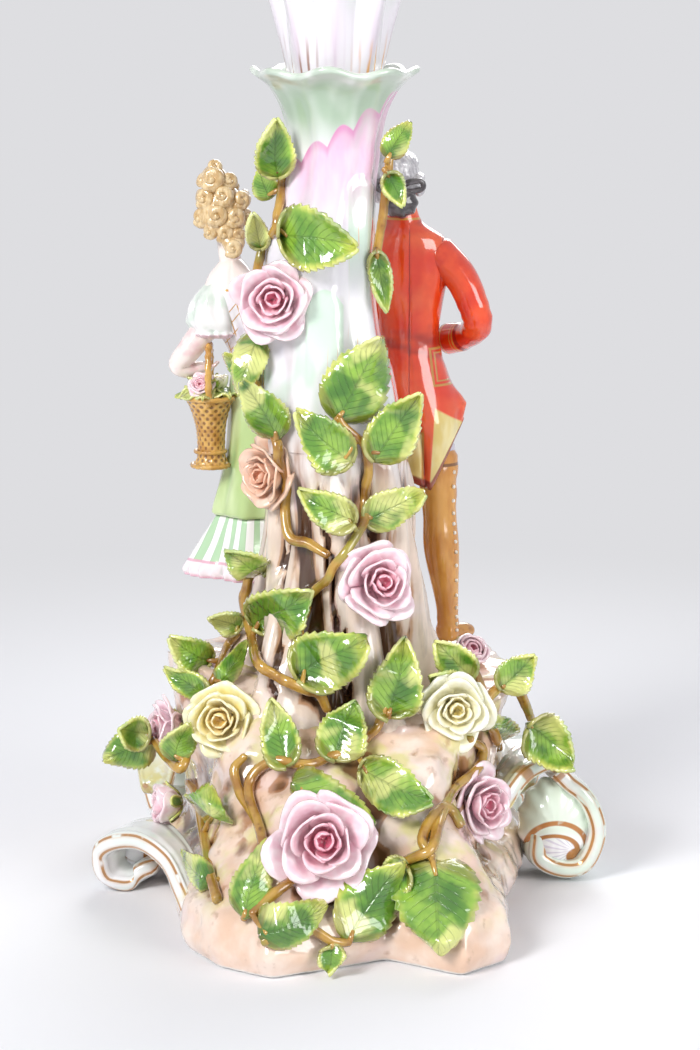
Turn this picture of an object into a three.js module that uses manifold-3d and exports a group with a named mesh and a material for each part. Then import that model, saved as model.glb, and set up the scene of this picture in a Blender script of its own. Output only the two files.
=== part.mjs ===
// A two-piece porcelain centrepiece in the rococo manner, in millimetres, +Z up. The lower piece is a
// stand: a hollow rock mound on scroll feet, a tree trunk that turns into a fluted stem, a gallant and a
// shepherdess at its front, and rose briars luted over the rear. The upper piece is a pierced bowl on a
// leafy calyx, whose spigot drops into a cork-lined socket in the stem's scalloped collar. The figures
// face +Y. The rear, which carries the largest roses, faces -Y. The origin is under the stem's axis.
import * as THREE from "three";
import { mergeVertices } from "three/addons/utils/BufferGeometryUtils.js";
import Module from "manifold-3d";

const wasm = await Module();
wasm.setup();

// Driving dimensions.
const SEAT_GAP = 0.5; // room left round a seated piece, at the corners of its facets
const WALL = 6; // thickness of the cast mound
const PLATEAU_Z = 80; // height of the ground that the figures stand on
const STEM_TOP = 252; // joint between stem and collar
const TRUNK_TOP = 158; // joint between bark and stem
const RIM_Z = 286; // lip of the collar
const BOWL_RADIUS = 110;
const BOWL_FLOOR_Z = 338;
const BOWL_RIM_Z = 432;
const WINDOWS = 12; // pierced windows in each row of the bowl
const SPIGOT_RADIUS = 8.8;
const CORK_RADIUS = 11;
const SOCKET_RADIUS = 11.3;
const TRUNK_BORE = 13;
const STEM_BORE = 9;
const TWIG_RADIUS = 2;

const GLAZE = { roughness: 0.12, metalness: 0 };
const COLOURS = {
  rock: 0xc9ad9a, bark: 0xb39a86, white: 0xf1eef0, mint: 0xcfdcc9, leaf: 0x6f9e33,
  pink: 0xe9b9cb, peach: 0xeec4ab, cream: 0xf3ecc4, coat: 0xd2361c, gaiter: 0xc98a3c, skin: 0xf2ddd3,
  wig: 0xb9b3b3, ribbon: 0x4a4646, hair: 0xc49c62, skirt: 0xd9e8c2, lilac: 0xb6aebb, gold: 0xe0b95c,
  cork: 0xb08a5b, lemon: 0xf0dd8d,
};

const v = (x, y, z) => new THREE.Vector3(x, y, z);
const radians = THREE.MathUtils.degToRad;

// A smooth value along a table of [place, value] pairs, which may run round a full turn.
function along(table, turn = 0) {
  const count = table.length;
  const pair = (k) => {
    if (!turn) return table[Math.min(count - 1, Math.max(0, k))];
    const lap = Math.floor(k / count);
    const [place, value] = table[k - lap * count];
    return [place + lap * turn, value];
  };
  return (at) => {
    let place = at;
    if (turn) place = table[0][0] + ((((at - table[0][0]) % turn) + turn) % turn);
    let k = 0;
    while (k < count - (turn ? 1 : 2) && pair(k + 1)[0] <= place) k++;
    const [[x0, y0], [x1, y1], [x2, y2], [x3, y3]] = [pair(k - 1), pair(k), pair(k + 1), pair(k + 2)];
    const span = x2 - x1;
    const t = Math.min(1, Math.max(0, (place - x1) / span));
    const slope1 = ((y2 - y0) / (x2 - x0 || 1)) * span;
    const slope2 = ((y3 - y1) / (x3 - x1 || 1)) * span;
    return (
      y1 * (2 * t ** 3 - 3 * t ** 2 + 1) + slope1 * (t ** 3 - 2 * t ** 2 + t) +
      y2 * (3 * t ** 2 - 2 * t ** 3) + slope2 * (t ** 3 - t ** 2)
    );
  };
}

// Geometry from points and faces, turned so that its faces point out.
function facingOut(points, index) {
  let volume = 0;
  for (let i = 0; i < index.length; i += 3)
    volume += points[index[i]].dot(points[index[i + 1]].clone().cross(points[index[i + 2]]));
  if (volume < 0) index.reverse();
  return new THREE.BufferGeometry().setFromPoints(points).setIndex(index);
}

// Skins a stack of rings that have equal numbers of points. An open stack is capped at both ends, and a
// looped one joins its last ring to its first, as the wall of a hollow piece does. A keeled one turns
// every other diagonal, so that the two faces of a thin blade bend alike, and may end in a tip.
function loft(rings, { looped = false, keeled = false, tip = null } = {}) {
  const count = rings[0].length;
  const points = rings.flat();
  const index = [];
  const bands = looped ? rings.length : rings.length - 1;
  for (let band = 0; band < bands; band++)
    for (let k = 0; k < count; k++) {
      const [low, high] = [band * count, ((band + 1) % rings.length) * count];
      const next = (k + 1) % count;
      if (keeled && k % 2) index.push(low + k, low + next, high + k, low + next, high + next, high + k);
      else index.push(low + k, low + next, high + next, low + k, high + next, high + k);
    }
  if (!looped)
    for (const [ring, turned] of [[0, true], [rings.length - 1, false]]) {
      const centre = points.length;
      const middle = rings[ring].reduce((sum, p) => sum.add(p), v(0, 0, 0)).divideScalar(count);
      points.push((ring && tip) || middle);
      for (let k = 0; k < count; k++) {
        const edge = [ring * count + k, ring * count + ((k + 1) % count)];
        index.push(...(turned ? edge.reverse() : edge), centre);
      }
    }
  return facingOut(points, index);
}

// One horizontal ring of a loft. shape(angle) scales the radius, for lobes, flutes and folds.
function ring(count, [x, y, z], radiusX, radiusY = radiusX, shape = () => 1) {
  return Array.from({ length: count }, (_, k) => {
    const angle = (k / count) * 2 * Math.PI;
    const scale = shape(angle);
    return v(x + radiusX * scale * Math.cos(angle), y + radiusY * scale * Math.sin(angle), z);
  });
}

// A stack of rings given as [x, y, z, radiusX, radiusY].
const stack = (count, rows, shape) =>
  loft(rows.map(([x, y, z, rx, ry]) => ring(count, [x, y, z], rx, ry, (a) => (shape ? shape(a, z) : 1))));

// A tube of one thickness along a smooth curve, whose joints lie at `joints(points)`.
const PITCH = 12;
const smooth = (points) => new THREE.CatmullRomCurve3(points, false, "centripetal");
const stepsAlong = (curve) => Math.max(1, Math.ceil(curve.getLength() / PITCH));
const joints = (points) => smooth(points).getSpacedPoints(stepsAlong(smooth(points)));
function tube(points, radius) {
  const extrudePath = smooth(points);
  const turns = [0, 0.4, 0.8, 1.2, 1.6].map((share) => share * Math.PI);
  const section = new THREE.Shape(
    turns.map((turn) => new THREE.Vector2(radius * Math.cos(turn), radius * Math.sin(turn))));
  const steps = stepsAlong(extrudePath);
  return new THREE.ExtrudeGeometry(section, { steps, bevelEnabled: false, extrudePath });
}

// A round limb that tapers along a smooth curve, with the radius given at each of its points.
function limb(path, radii, sides = 6, perSpan = 1) {
  const curve = smooth(path.map((p) => v(...p)));
  const steps = (path.length - 1) * perSpan;
  const radiusAt = along(radii.map((radius, k) => [k, radius]));
  let across = null;
  const rings = Array.from({ length: steps + 1 }, (_, s) => {
    const u = s / steps;
    const centre = curve.getPoint(u);
    const ahead = curve.getTangent(u);
    across ??= Math.abs(ahead.z) > 0.8 ? v(1, 0, 0) : v(0, 0, 1);
    across = across.clone().addScaledVector(ahead, -across.dot(ahead)).normalize();
    const beside = ahead.clone().cross(across);
    const radius = radiusAt(u * (path.length - 1));
    return Array.from({ length: sides }, (_, k) => {
      const angle = (k / sides) * 2 * Math.PI;
      return centre.clone()
        .addScaledVector(across, radius * Math.cos(angle))
        .addScaledVector(beside, radius * Math.sin(angle));
    });
  });
  return loft(rings);
}

// A smooth egg shape, for heads, hair and bulges.
function egg([x, y, z], [rx, ry, rz], columns = 8, rows = 5) {
  const ball = new THREE.SphereGeometry(1, columns, rows).rotateX(Math.PI / 2);
  return ball.scale(rx, ry, rz).translate(x, y, z);
}

// Between a geometry and a closed solid that can be cut and joined.
function solid(geometry) {
  const bare = geometry.clone();
  bare.deleteAttribute("normal");
  bare.deleteAttribute("uv");
  const merged = mergeVertices(bare, 1e-4);
  return new wasm.Manifold(new wasm.Mesh({
    numProp: 3,
    vertProperties: merged.attributes.position.array,
    triVerts: new Uint32Array(merged.index.array),
  }));
}

function geometryOf(body) {
  const mesh = body.getMesh();
  return new THREE.BufferGeometry()
    .setAttribute("position", new THREE.BufferAttribute(new Float32Array(mesh.vertProperties), 3))
    .setIndex(new THREE.BufferAttribute(new Uint32Array(mesh.triVerts), 1));
}

const largest = (body) => body.decompose().sort((a, b) => b.volume() - a.volume())[0];
const join = (geometries) => geometryOf(geometries.map(solid).reduce((whole, piece) => whole.add(piece)));
const cut = (geometry, ...tools) =>
  geometryOf(tools.reduce((body, tool) => body.subtract(solid(tool)), solid(geometry)));

// The room that a seated piece needs: its own surface moved out along its normals.
function swollen(geometry) {
  const merged = mergeVertices(geometry.clone(), 1e-4);
  merged.computeVertexNormals();
  const { position, normal } = merged.attributes;
  for (let k = 0; k < position.count; k++)
    position.setXYZ(k,
      position.getX(k) + SEAT_GAP * normal.getX(k),
      position.getY(k) + SEAT_GAP * normal.getY(k),
      position.getZ(k) + SEAT_GAP * normal.getZ(k));
  merged.deleteAttribute("normal");
  return merged;
}

// The object: the stand with its two figures and its garland, and the bowl that lifts off.
const groups = Object.fromEntries(
  ["stand", "gallant", "shepherdess", "garland", "bowl"].map((name) => [name, new THREE.Group()]));
const centrepiece = new THREE.Group().add(groups.stand, groups.bowl);
groups.stand.add(groups.gallant, groups.shepherdess, groups.garland);

// Adds one piece. It is cut back where it meets those already there, as a piece is trimmed to sit on the
// one that it is luted to, and its mesh is placed at its own middle.
const placed = [];
function place(group, name, colour, geometry, { finish = GLAZE, cutBack = true } = {}) {
  geometry.computeBoundingBox();
  const met = placed.filter((other) => cutBack && other.box.intersectsBox(geometry.boundingBox));
  const body = met.reduce((rest, other) => rest.subtract(other.room).subtract(other.body), solid(geometry));
  const seated = geometryOf(largest(largest(body).simplify(0.12)));
  seated.computeBoundingBox();
  placed.push({
    box: seated.boundingBox.clone().expandByScalar(1),
    body: solid(seated),
    room: solid(swollen(seated)),
  });
  const middle = seated.boundingBox.getCenter(v(0, 0, 0));
  const mesh = new THREE.Mesh(seated.translate(...middle.clone().negate().toArray()),
    new THREE.MeshStandardMaterial({ color: COLOURS[colour], ...finish }));
  mesh.name = name;
  mesh.position.copy(middle);
  groups[group].add(mesh);
  return mesh;
}

// The mound's edge on the table, as [degrees round from +X, radius]. Two lobes reach to the rear.
const roundTable = (rows) =>
  along(rows.map(([degrees, value]) => [radians(degrees), value]), 2 * Math.PI);
const moundEdge = roundTable([
  [-151, 61], [-134, 76], [-122, 92], [-108, 103], [-96, 105], [-88, 91], [-82, 84], [-76, 93],
  [-66, 111], [-57, 105], [-50, 90], [-40, 74], [-22, 66], [0, 66], [30, 78], [60, 84],
  [90, 80], [120, 84], [150, 76], [180, 62],
]);
const plateauEdge = roundTable([
  [-160, 49], [-120, 42], [-90, 39], [-60, 42], [-30, 52], [0, 60], [35, 66], [70, 60],
  [110, 60], [145, 64], [180, 56],
]);
const plateauHeight = roundTable([
  [-160, 82], [-120, 70], [-90, 63], [-60, 64], [-20, 67], [10, 75], [40, PLATEAU_Z],
  [140, PLATEAU_Z], [170, 82],
]);
// Boulders and ledges on the slope, as [degrees, share of the climb, width in degrees, height].
const BOULDERS = [
  [-172, 0.97, 16, 7], [-4, 0.95, 14, 7], [-57, 0.8, 14, 7], [-132, 0.6, 15, 5], [-98, 0.5, 12, 5],
];
const boulderAt = (angle, t) => BOULDERS.reduce((sum, [degrees, share, width, height]) => {
  const past = THREE.MathUtils.radToDeg(angle) - degrees;
  const turn = THREE.MathUtils.euclideanModulo(past + 180, 360) - 180;
  return sum + height * Math.exp(-((turn / width) ** 2) - ((t - share) / 0.2) ** 2);
}, 0);

// Hollows of the rock: a few waves that are strongest halfway up the slope.
const rockiness = (angle, rise) => {
  const waves = 2.6 * Math.sin(5 * angle + 7 * rise) + 1.8 * Math.sin(9 * angle - 5 * rise);
  return Math.sin(Math.PI * rise) * waves;
};

function moundGeometry() {
  const columns = 32;
  const lip = [[2, 0], [-1, 7], [3, 17], [12, 22]];
  const at = (angle, radius, z) => v(radius * Math.cos(angle), radius * Math.sin(angle), z);
  const around = (make) => Array.from({ length: columns }, (_, k) => make((k / columns) * 2 * Math.PI));
  const climb = (angle, t, inset) => {
    const bump = boulderAt(angle, t);
    const radius = THREE.MathUtils.lerp(moundEdge(angle) - lip[3][0], plateauEdge(angle), t);
    const height = THREE.MathUtils.lerp(lip[3][1], plateauHeight(angle), t ** 0.85);
    return at(angle, radius + 0.8 * bump + rockiness(angle, t) - inset, height + 0.5 * bump - inset);
  };
  const hole = TRUNK_BORE + 5;
  const top = 77;
  const shelf = (a, drop) =>
    at(a, 0.62 * plateauEdge(a), THREE.MathUtils.lerp(plateauHeight(a), top, 0.25) - drop);
  return loft([
    ...lip.map(([inset, z]) => around((a) => at(a, moundEdge(a) - inset, z))),
    ...[0.25, 0.5, 0.75, 1].map((t) => around((a) => climb(a, t, 0))),
    around((a) => shelf(a, 0)), around((a) => at(a, hole, top)), around((a) => at(a, hole, top - WALL)),
    around((a) => climb(a, 0.95, WALL + 2)), around((a) => climb(a, 0.4, WALL + 2)),
    around((a) => at(a, moundEdge(a) - 10, 0)),
  ], { looped: true });
}
const mound = place("stand", "rock_mound", "rock", moundGeometry());
centrepiece.updateMatrixWorld(true);
const groundAt = (x, y) =>
  new THREE.Raycaster(v(x, y, 300), v(0, 0, -1)).intersectObject(mound)[0]?.point.z;

// The stem's lean and half width, as [height, value].
const stemLean = along([
  [60, 0], [123, 1.5], [159, -0.6], [182, -2.8], [200, -5], [226, -5.2], [244, -2.2], [258, 0],
]);
const stemRadius = along([
  [58, 40], [68, 35], [90, 30.8], [102, 28.8], [124, 26.2], [140, 25.2], [159, 24.6],
  [182, 23.4], [198, 20.4], [228, 18.4], [244, 16], [256, 15.2], [262, 15.4], [277, 18.8],
]);
// Bark stands in deep upright folds that spread into roots. The stem above it is softly fluted.
const barkFold = (angle, z) => {
  const depth = THREE.MathUtils.mapLinear(Math.min(z, 150), 60, 150, 0.15, 0.06);
  const drift = (z - 60) / 130;
  return 1 + depth * (Math.cos(6 * (angle + drift)) + 0.4 * Math.cos(3 * angle - 2 * drift));
};
const stemFlute = (angle, z) => 1 + 0.05 * Math.cos(6 * angle + z / 60) + 0.03 * Math.cos(10 * angle);

// A hollow length of the stem, as outer rings of [height, radius, lobes] from the tenon up, round a bore.
function hollowStem(columns, outer, bore, low, high) {
  const axis = (z) => [stemLean(z), 0, z];
  const skinRings = outer.map(([z, radius, shape = () => 1]) =>
    ring(columns, axis(z), radius, radius, (a) => shape(a, z)));
  const boreRings = [high, low].map((z) => ring(columns, axis(z), bore));
  return loft([...skinRings, ...boreRings], { looped: true });
}

// The trunk's roots spread over the mound, and its tenon goes down through the mound's hole.
const trunkTenon = TRUNK_BORE + 4.2;
const overGround = (rows, lift, least = 0) =>
  rows.map((p) => p.setZ(Math.max(least, groundAt(p.x, p.y) + lift)));
function trunkGeometry() {
  const columns = 24;
  const round = (z, radius) => ring(columns, [stemLean(z), 0, z], radius, radius, (a) => barkFold(a, z));
  return loft([
    ring(columns, [0, 0, 68], trunkTenon), ring(columns, [0, 0, 77.5], trunkTenon),
    overGround(ring(columns, [0, 0, 0], 25), 2.2), overGround(round(60, stemRadius(64)), 1.2),
    overGround(round(78, stemRadius(78)), 6, 78),
    ...[92, 112, 136, TRUNK_TOP].map((z) => round(z, stemRadius(z))),
    ring(columns, [stemLean(TRUNK_TOP), 0, TRUNK_TOP], TRUNK_BORE), ring(columns, [0, 0, 68], TRUNK_BORE),
  ], { looped: true });
}
place("stand", "tree_trunk", "bark", trunkGeometry());

const stemTenon = TRUNK_BORE - 1.5;
place("stand", "fluted_stem", "white", hollowStem(20, [
  [148, stemTenon], [TRUNK_TOP + 0.3, stemTenon],
  ...[TRUNK_TOP + 0.3, 186, 200, 228, STEM_TOP].map((z) => [z, stemRadius(z), stemFlute]),
], STEM_BORE, 148, STEM_TOP), { cutBack: false });

// The collar opens like a flower. Its inside steps in to the socket that the bowl's spigot stands in.
const COLLAR_LOBES = 8;
const scallop = (angle) => Math.cos(COLLAR_LOBES * angle + 0.6);
function collarGeometry() {
  const columns = 24;
  const row = (z, radius, lobed = 0) =>
    ring(columns, [0, 0, z], radius, radius, (a) => 1 + lobed * 0.035 * scallop(a))
      .map((p, k) => p.setZ(z + 1.6 * lobed * scallop((k / columns) * 2 * Math.PI)));
  return loft([
    row(STEM_TOP + 0.3, 15.4), row(266, 16), row(276, 19), row(282, 23, 0.6), row(RIM_Z - 1, 27.4, 1),
    row(RIM_Z + 0.6, 26.6, 1), row(282.4, 20.8, 0.6), row(272, 16.2), row(272, SOCKET_RADIUS),
    row(STEM_TOP + 0.3, SOCKET_RADIUS),
  ], { looped: true });
}
place("stand", "scalloped_collar", "mint", collarGeometry(), { cutBack: false });

// A ribbon of porcelain along a curve, with its flat side facing `face`, for C-scrolls.
function ribbon(path, widths, thicknesses, face, perSpan = 1) {
  const curve = smooth(path.map((p) => v(...p)));
  const steps = (path.length - 1) * perSpan;
  const [width, thickness] = [widths, thicknesses]
    .map((list) => along(list.map((value, k) => [k, value])));
  const section = [[-1, -0.2], [-0.5, -1], [0.5, -1], [1, -0.2], [0.6, 1], [-0.6, 1]];
  return loft(Array.from({ length: steps + 1 }, (_, s) => {
    const u = s / steps;
    const centre = curve.getPoint(u);
    const ahead = curve.getTangent(u);
    const side = v(...face).addScaledVector(ahead, -v(...face).dot(ahead)).normalize();
    const up = ahead.clone().cross(side);
    const at = u * (path.length - 1);
    return section.map(([a, b]) => centre.clone()
      .addScaledVector(side, (a * width(at)) / 2)
      .addScaledVector(up, (-b * thickness(at)) / 2));
  }));
}

const underFloor = new THREE.BoxGeometry(400, 400, 40).translate(0, 0, -20);
// Each foot is a C-scroll: it springs from the mound, bows out to the table and curls in on itself.
const FEET = {
  scroll_foot_left: {
    path: [[-45, -65, 5], [-49, -55, 14], [-54, -42, 21], [-62, -28, 24], [-70, -16, 22],
      [-77, -8, 17], [-78, -5, 9], [-72, -4, 4], [-65, -4, 7]],
    widths: [9, 11, 13, 17, 21, 24, 24, 22, 20],
    web: [[-70, 1, 12], [9, 5, 10]],
    face: [0.45, 0.9, 0],
  },
  scroll_foot_right: {
    path: [[56, -16, 32], [64, -4, 41], [73, 7, 43], [81, 9, 36], [88, 8, 29], [91, 8, 18],
      [87, 7, 7], [79, 6, 5], [71, 5, 9], [71, 5, 17]],
    widths: [12, 18, 22, 26, 28, 28, 26, 24, 22, 20],
    web: [[79, 6, 21], [12, 5, 16]],
    face: [-0.2, 1, 0],
  },
  scroll_foot_front_left: {
    path: [[-66, 30, 26], [-66, 44, 34], [-64, 58, 34], [-63, 70, 27], [-63, 76, 15],
      [-61, 71, 5], [-60, 63, 6], [-60, 60, 14]],
    widths: [12, 18, 22, 24, 24, 22, 20, 18],
    face: [1, 0, 0],
  },
  scroll_foot_front_right: {
    path: [[68, 30, 26], [68, 44, 34], [66, 58, 34], [65, 70, 27], [65, 76, 15],
      [63, 71, 5], [62, 63, 6], [62, 60, 14]],
    widths: [12, 18, 22, 24, 24, 22, 20, 18],
    face: [1, 0, 0],
  },
};
for (const [name, { path, widths, face, web }] of Object.entries(FEET))
  place("stand", name, "mint", cut(join([
    ribbon(path, widths, Array(path.length).fill(8), face), ...(web ? [egg(...web, 8, 4)] : []),
  ]), underFloor));

// The gallant, seen from behind on the right. He stands on the mound with a hand on his hip.
const coatFold = (angle, z) =>
  1 + 0.06 * Math.cos(5 * angle) * THREE.MathUtils.clamp((176 - z) / 20, 0, 1);
// The skirts of the coat are cut away: the hem hangs lowest behind, and climbs to the front and to his
// right hip.
const hemRise = ({ x, y }) =>
  Math.max(0, x - 34) * 2 + Math.max(0, 34 - x) * 0.4 + Math.max(0, y - 36) * 2.4;
const coatRows = [
  [32, 35, 137, 12.6, 10.5], [31, 35, 150, 14.4, 12], [29, 36, 163, 16.6, 13.4],
  [27, 36, 176, 14, 12], [26, 36, 190, 11, 9.5], [26, 35, 205, 12.6, 10],
  [26, 35, 217, 14.6, 9.6], [26, 34, 226, 13, 8], [24, 34, 232, 7, 6], [23, 34, 238, 5.4, 5],
];
place("gallant", "man_coat", "coat", loft(coatRows.map(([x, y, z, rx, ry], row) =>
  ring(16, [x, y, z], rx, ry, (angle) => coatFold(angle, z))
    .map((p) => p.setZ(z + hemRise(p) * ([1, 0.6, 0.2][row] ?? 0))))));
place("gallant", "man_waistcoat", "lemon", stack(8, [
  [26, 41, 164, 7, 7], [26, 42, 176, 8.4, 8], [26, 41.7, 200, 7.6, 7],
  [25, 40.5, 224, 6, 6], [23, 38.4, 231, 6.4, 6], [22, 36, 237.2, 4, 4],
]));
place("gallant", "man_right_sleeve", "coat", limb(
  [[36, 34, 221], [44, 32, 213], [48.5, 30, 204], [50.5, 31, 196], [47, 38, 191], [41, 46, 189]],
  [6.6, 6, 5.6, 5.2, 4.6, 5.8], 7));
place("gallant", "man_right_hand", "skin", limb([[41, 44, 188.6], [37, 48, 187], [33, 49, 185]],
  [3.2, 3.4, 2]));
place("gallant", "man_left_sleeve", "coat", limb(
  [[15, 34, 222], [7, 38, 213], [2, 43, 203], [-1, 48, 198]], [7, 6, 5.6, 6.4], 7));
place("gallant", "man_left_hand", "skin", limb([[-1, 48, 198], [-5, 51, 196], [-9, 52, 195]],
  [3, 3.2, 1.8]));

// A head on its neck, in rings, with a small nose at the front.
function headGeometry([x, y, z], size, neck, lean) {
  const rows = [
    [neck, 0.5, 0.5, -0.3], [-1, 0.5, 0.5, -0.25], [-0.85, 0.56, 0.6, 0.05], [-0.3, 0.8, 0.86, 0.04],
    [0.25, 0.86, 0.94, 0], [0.7, 0.68, 0.74, 0], [1, 0.24, 0.26, 0],
  ];
  const noseHeight = z - 0.3 * size;
  const nose = (angle, height) =>
    1 + (Math.abs(height - noseHeight) < 0.1 ? 0.24 * Math.max(0, Math.sin(angle)) ** 20 : 0);
  return stack(10, rows.map(([rise, rx, ry, shift]) =>
    [x + lean * Math.min(0, rise), y + size * shift, z + size * rise, size * rx, size * ry]), nose);
}
const sideCurls = (angle, z) => 1 + (Math.abs(z - 245) < 3 ? 0.2 * Math.abs(Math.cos(angle)) ** 8 : 0);
place("gallant", "man_wig", "wig", stack(10, [
  [20, 30, 239, 5.5, 4.6], [20, 30.4, 244, 9.2, 7], [20, 30.8, 248, 9.4, 8], [20, 32, 253.8, 8.4, 8.4],
  [20, 33, 258, 4.6, 5],
], sideCurls));
place("gallant", "man_head", "skin", headGeometry([20, 35, 248.5], 9.6, -1.1, -2));
place("gallant", "man_wig_bag", "ribbon", join([
  egg([22.5, 23, 239.6], [6.4, 4.6, 5.6], 8, 4),
  limb([[14.5, 24, 246], [18, 23.6, 245.4], [22.5, 23.6, 244.4], [27.6, 23.6, 245.4], [32.5, 24, 246]],
    [1.6, 3, 1.8, 3, 1.6], 5),
]));
place("gallant", "man_breeches", "lilac", join([
  limb([[29, 38, 161], [36.4, 34, 148.6]], [8.4, 7.6], 8),
  limb([[22, 40, 161], [18, 41, 148.6]], [8.4, 7.6], 8),
]));
for (const [side, path, toe] of [
  ["right", [[36.6, 34, 148], [37.4, 32, 128], [38.2, 31, 114], [40.4, 32, 93], [40.6, 32.4, 80.6]],
    [49, 38, 82.6]],
  ["left", [[18, 41, 148], [17, 43, 128], [17, 42, 113], [16, 42, 93], [16, 42.4, 80.6]], [13, 51, 82.6]],
]) {
  const heel = v(...path[4]).lerp(v(...toe), -0.2).setZ(83.2);
  const ball = v(...path[4]).lerp(v(...toe), 0.6).setZ(83.2);
  place("gallant", `man_${side}_gaiter`, "gaiter", join([
    limb(path, [7.4, 6, 6.4, 4, 4.2], 8), limb([heel.toArray(), ball.toArray(), toe], [2.7, 3, 2.2], 6),
  ]));
}

// The shepherdess, seen from behind on the left, leans out with a basket on her arm.
place("shepherdess", "lady_bodice", "white", stack(12, [
  [-29, 35, 178, 8.6, 8], [-30, 35, 184, 7.6, 7], [-33, 34, 194, 9.6, 8.4],
  [-36, 33, 204, 11.6, 9], [-37, 33, 212, 9, 7], [-37, 33, 218, 4.6, 4.4],
]));
const ruffled = (angle) => 1 + 0.06 * Math.cos(6 * angle);
for (const [side, toward, y] of [["left", -1, 31], ["right", 1, 35]])
  place("shepherdess", `lady_${side}_sleeve`, "white", stack(12, [
    [-36 + 7 * toward, y, 193, 8.6, 8], [-36 + 7.5 * toward, y, 196.5, 9.4, 8.6],
    [-36 + 7 * toward, y, 203, 8.4, 7.8], [-36 + 5 * toward, y + 1, 209, 6.4, 6.4],
    [-36 + 2.4 * toward, y + 2, 214, 3, 3.4],
  ], ruffled));
place("shepherdess", "lady_left_arm", "skin", limb(
  [[-46, 31, 195], [-52, 30, 187], [-57, 30, 181], [-52, 31.6, 179], [-46, 32.6, 180], [-42, 33, 181]],
  [4.8, 4.6, 4, 3.4, 2.8, 2]));
place("shepherdess", "lady_right_arm", "skin", limb(
  [[-24, 37, 196], [-20, 42, 190], [-15, 47, 190], [-11, 51, 193]], [4.4, 4, 3.2, 2.4]));
const ringlets = (angle) => 1 + 0.09 * Math.cos(5 * angle);
place("shepherdess", "lady_hair", "hair", stack(10, [
  [-36, 25.6, 220.6, 3, 3], [-36, 25.6, 225, 5, 4], [-37.6, 28, 228.4, 6, 5],
  [-40.6, 29.4, 233, 9.6, 7], [-40, 30.6, 240, 9, 7.6], [-40.4, 31, 244.6, 5.6, 6],
  [-42.5, 30, 249, 6, 5.4], [-42.6, 30, 253, 3, 3],
], ringlets));
place("shepherdess", "lady_head", "skin", headGeometry([-39, 36, 234], 8.8, -1.75, 0.12));
const skirtFold = (angle, z) => 1 + Math.min(1, (178 - z) / 60) * 0.07 * Math.cos(6 * angle + z / 25);
place("shepherdess", "lady_overskirt", "skirt", stack(16, [
  [-27.5, 36, 127, 16, 14], [-27.5, 36, 130, 16.4, 14.4], [-26, 36, 148, 13.6, 12.6],
  [-26.5, 36, 164, 12, 11.5], [-29, 35, 175, 9, 8.6], [-29.4, 35, 177.6, 8, 7.8],
], skirtFold));
const shin = (x, y, toeX) => [
  limb([[x, y, 112], [x, y, 96], [x, y, 80.6]], [3.6, 3, 3]),
  limb([[x, y, 82.8], [toeX, y + 9, 82.2]], [2.6, 1.8], 6),
];
place("shepherdess", "lady_underskirt", "skirt", join([
  stack(16, [
    [-27, 38, 104.6, 26, 19], [-27, 38, 108, 26.4, 19.4], [-26.5, 38, 117, 21.6, 17],
    [-26.6, 37, 126.5, 16, 14],
  ], skirtFold),
  ...shin(-31, 39, -33), ...shin(-19, 43, -17),
]));
place("shepherdess", "flower_basket", "gold", join([
  stack(10, [[-44.6, 30, 144.5, 6.6, 6.6], [-44.6, 30, 149, 5, 5], [-44.7, 30, 158, 5.2, 5.2],
    [-45, 30, 170, 8.6, 8.6]]),
  tube([[22.6, 168], [21.6, 177], [24, 185], [30, 189], [36, 185], [38.4, 177], [37.4, 168]]
    .map(([y, z]) => v(-45, y, z)), 1.3),
]));
place("shepherdess", "basket_posy", "leaf", stack(12, [
  [-45.6, 30, 170.6, 8, 8], [-46.2, 30, 171, 12, 11.2], [-46.6, 30, 174, 10, 9], [-46.8, 30, 177, 4, 4],
], (a) => 1 + 0.08 * Math.cos(6 * a)));

// What the garland lies on.
centrepiece.updateMatrixWorld(true);
const carriers = ["rock_mound", "tree_trunk", "fluted_stem", "scalloped_collar"]
  .map((name) => centrepiece.getObjectByName(name));
for (const carrier of carriers) {
  carrier.geometry.computeBoundingSphere();
  carrier.material.side = THREE.DoubleSide;
}

// Where a level line from the rear (side -1) or the front (side 1) meets them, and which way they face.
function skin([x, z], side, y) {
  const level = v(0, side, 0.25).normalize();
  if (y !== undefined) return { point: v(x, y, z), normal: level };
  const hit = new THREE.Raycaster(v(x, 300 * side, z), v(0, -side, 0)).intersectObjects(carriers)[0];
  if (!hit) return { point: v(x, 0, z), normal: level };
  const facing = Math.abs(hit.face.normal.y);
  return { point: hit.point, normal: hit.face.normal.clone().lerp(level, 1 - 0.8 * facing).normalize() };
}

const reaches = ({ x, z }, side) =>
  new THREE.Raycaster(v(x, 300 * side, z), v(0, -side, 0)).intersectObjects(carriers).length > 0;

// A twig runs over the stand through places [x, z, lift, y], and lies on it. The last two are
// given only where it stands free.
function twigPath(places, side) {
  const stops = places.flatMap((place, k) => {
    const from = places[k - 1] ?? place;
    const far = Math.hypot(place[0] - from[0], place[1] - from[1]) > 9 && place.length === from.length;
    return far ? [place.map((value, axis) => (value + from[axis]) / 2), place] : [place];
  });
  return stops.map(([x, z, lift = TWIG_RADIUS + 0.5, y]) => {
    const foot = skin([x, z], side, y);
    return foot.point.addScaledVector(foot.normal, lift);
  });
}

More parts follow.
